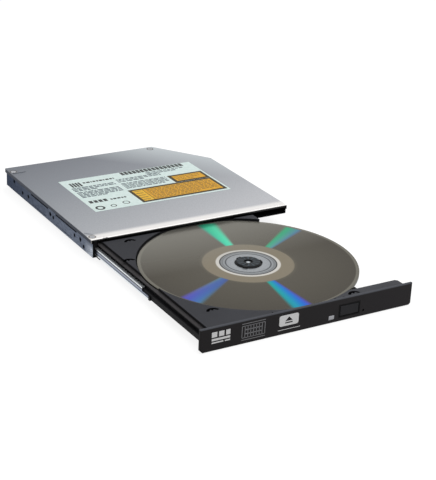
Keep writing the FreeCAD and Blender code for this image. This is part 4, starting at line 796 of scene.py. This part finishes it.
def lamp_lens():
    """Lamp lens in front of the light guide: a pillow, its depth (1 - u^4)(1 - v^4) over the face."""
    u, v = np.meshgrid(np.linspace(-1, 1, 17), np.linspace(-1, 1, 13))
    y = -BEZEL_FACE - LAMP_DEPTH * (1 - u**4) * (1 - v**4)
    points = np.stack([LAMP_AT[0] + LAMP_HALF[0] * u, y, LAMP_AT[1] + LAMP_HALF[1] * v], axis=-1)
    shape = points.reshape(-1, 3), grid_faces(*u.shape)
    mesh_object("lamp_lens", shape, LAMP, "tray", smooth=True)


def screw_thread():
    """Lead screw with a helical ridge, one start with 1 mm between ridges, and plain ends.

    The radius falls from 1 mm by a triangle wave of the distance along less the turn angle.
    """
    rows, columns, pitch, depth = 900, 20, 1.0, 0.24
    along = np.linspace(SCREW_START, SCREW_END, rows)[:, None]
    turn = np.linspace(0, 2 * np.pi, columns, endpoint=False)[None]
    phase = np.mod(along / pitch - turn / (2 * np.pi), 1.0)
    threaded = np.clip(np.minimum(along - 4.0, 56.0 - along), 0.0, 0.5) / 0.5
    radius = 1.0 - depth * threaded * np.clip(np.abs(phase - 0.5) * 3.0 - 0.2, 0.0, 1.0)
    aside = SCREW_Y + radius * np.cos(turn)
    height = SCREW_Z + radius * np.sin(turn)
    k = math.sqrt(0.5)
    x = DISC_CENTRE[0] - k * along + k * aside
    y = DISC_CENTRE[1] - k * along - k * aside
    shape = np.stack([x, y, height], axis=-1).reshape(-1, 3), grid_faces(rows, columns, wrap=True)[:, ::-1]
    screw = mesh_object("screw_thread", shape, ROD, "screw", smooth=True)
    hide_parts("lead_screw")


def flat_cable():
    """Flat cable: a strip of even width and 0.2 thick, swept along straight runs and a half circle.

    It leaves the board's socket, drops to the pan's floor, runs forward, turns back up in the half circle and
    ends under the tray. Its line is in y and z, and the section is in x and along the line's normal.
    """
    floor, top, board, tray_end = 0.7, 5.8, 3.1, -64.65
    bend, bend_y = (top - floor) / 2, tray_end - 12.0
    start = [(37.75, board), (32.45, board), (29.0, floor + 0.5), (27.5, floor)]
    lower = np.linspace(24.0, bend_y, 60)
    turn = np.radians(np.linspace(-90.0, -270.0, 15)[1:])
    upper = np.linspace(bend_y, tray_end, 8)[1:]
    y = np.concatenate([lower, bend_y + bend * np.cos(turn), upper])
    rise = floor + bend + bend * np.sin(turn)
    z = np.concatenate([np.full_like(lower, floor), rise, np.full_like(upper, top)])
    line = np.concatenate([start, np.stack([y, z], axis=-1)])
    slope = np.gradient(line, axis=0)
    slope /= np.linalg.norm(slope, axis=1, keepdims=True)
    normal = np.stack([-slope[:, 1], slope[:, 0]], axis=-1)
    section = [(-8.0, -0.1), (12.0, -0.1), (12.0, 0.1), (-8.0, 0.1)]
    rings = [np.column_stack([np.full(len(line), x), line + normal * t]) for x, t in section]
    shape = np.stack(rings, axis=1).reshape(-1, 3), grid_faces(len(line), len(section), wrap=True)
    strip = mesh_object("flat_cable", shape, FILM)
    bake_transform(strip)
    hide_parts("flex_cable")


# Floor, light and camera


def seen(tree):
    """One for rays from the camera and for mirrored or refracted ones, none for soft light."""
    path = add(tree, "LightPath", out=None).outputs
    either = add(tree, "Math", (path["Is Camera Ray"], path["Is Glossy Ray"]), operation="MAXIMUM")
    return add(tree, "Math", (either, path["Is Transmission Ray"]), operation="MAXIMUM")


def floor_surface():
    """Plain matt floor: it shows white, keeps a soft shadow, and throws little light back up."""
    material, tree, inputs = finish("studio_floor", "8a8a8a", 0.9, Specular_IOR_Level=0.0)
    inputs["Emission Color"].default_value = linear("ffffff")
    tree.links.new(add(tree, "Math", (seen(tree), 0.84), operation="MULTIPLY"), inputs["Emission Strength"])
    return material


def studio():
    """Pale floor just under the drive, an even sky that shows white, and one soft light."""
    half, level = 3000.0, -0.2
    corners = [(-half, -half, level), (half, -half, level), (half, half, level), (-half, half, level)]
    floor = mesh_object("studio_floor", (corners, [[0, 1, 2, 3]]), floor_surface())
    world = bpy.data.worlds.new("sky")
    bpy.context.scene.world = world
    world.use_nodes = True
    tree = world.node_tree
    background = tree.nodes["Background"].inputs
    background["Color"].default_value = linear("ffffff")
    tree.links.new(add(tree, "MapRange", (seen(tree), 0.0, 1.0, 0.55, 1.0)), background["Strength"])
    light = bpy.data.lights.new("softbox", "AREA")
    light.shape = "RECTANGLE"
    light.size, light.size_y = 1.1, 1.1
    light.energy = 5.5
    lamp = bpy.data.objects.new("softbox", light)
    bpy.context.scene.collection.objects.link(lamp)
    lamp.location = (0.25, -0.3, 0.95)
    lamp.rotation_euler = (Vector((0, -0.06, 0)) - lamp.location).to_track_quat("-Z", "Y").to_euler()


def camera():
    """The photo's viewpoint: bearing, height, roll, distance and focal length in photo pixels."""
    bearing, height, roll = (math.radians(v) for v in (-31.224, 22.989, 2.503))
    target, distance, focal = Vector((0.007845, -0.078361, 0.006)), 0.761815, 1339.224
    photo_height, sensor = 480, 36.0
    back = (math.sin(bearing) * math.cos(height), -math.cos(bearing) * math.cos(height), math.sin(height))
    back = Vector(back)
    right = Vector((math.cos(bearing), math.sin(bearing), 0.0))
    up = back.cross(right)
    x = right * math.cos(roll) + up * math.sin(roll)
    y = up * math.cos(roll) - right * math.sin(roll)
    data = bpy.data.cameras.new("photo_camera")
    data.sensor_fit = "AUTO"
    data.sensor_width = sensor
    data.lens = focal / photo_height * sensor
    data.clip_start, data.clip_end = 0.01, 20.0
    eye = bpy.data.objects.new("photo_camera", data)
    bpy.context.scene.collection.objects.link(eye)
    eye.matrix_world = Matrix((*zip(x, y, back, target + back * distance), (0, 0, 0, 1)))
    bpy.context.scene.camera = eye


dress_nodes()
label_print()
stickers()
bezel_marks()
fasteners()
finger_slots()
lamp_lens()
screw_thread()
flat_cable()
studio()
camera()
view = bpy.context.scene.view_settings
view.view_transform = "Standard"
view.look = "None"
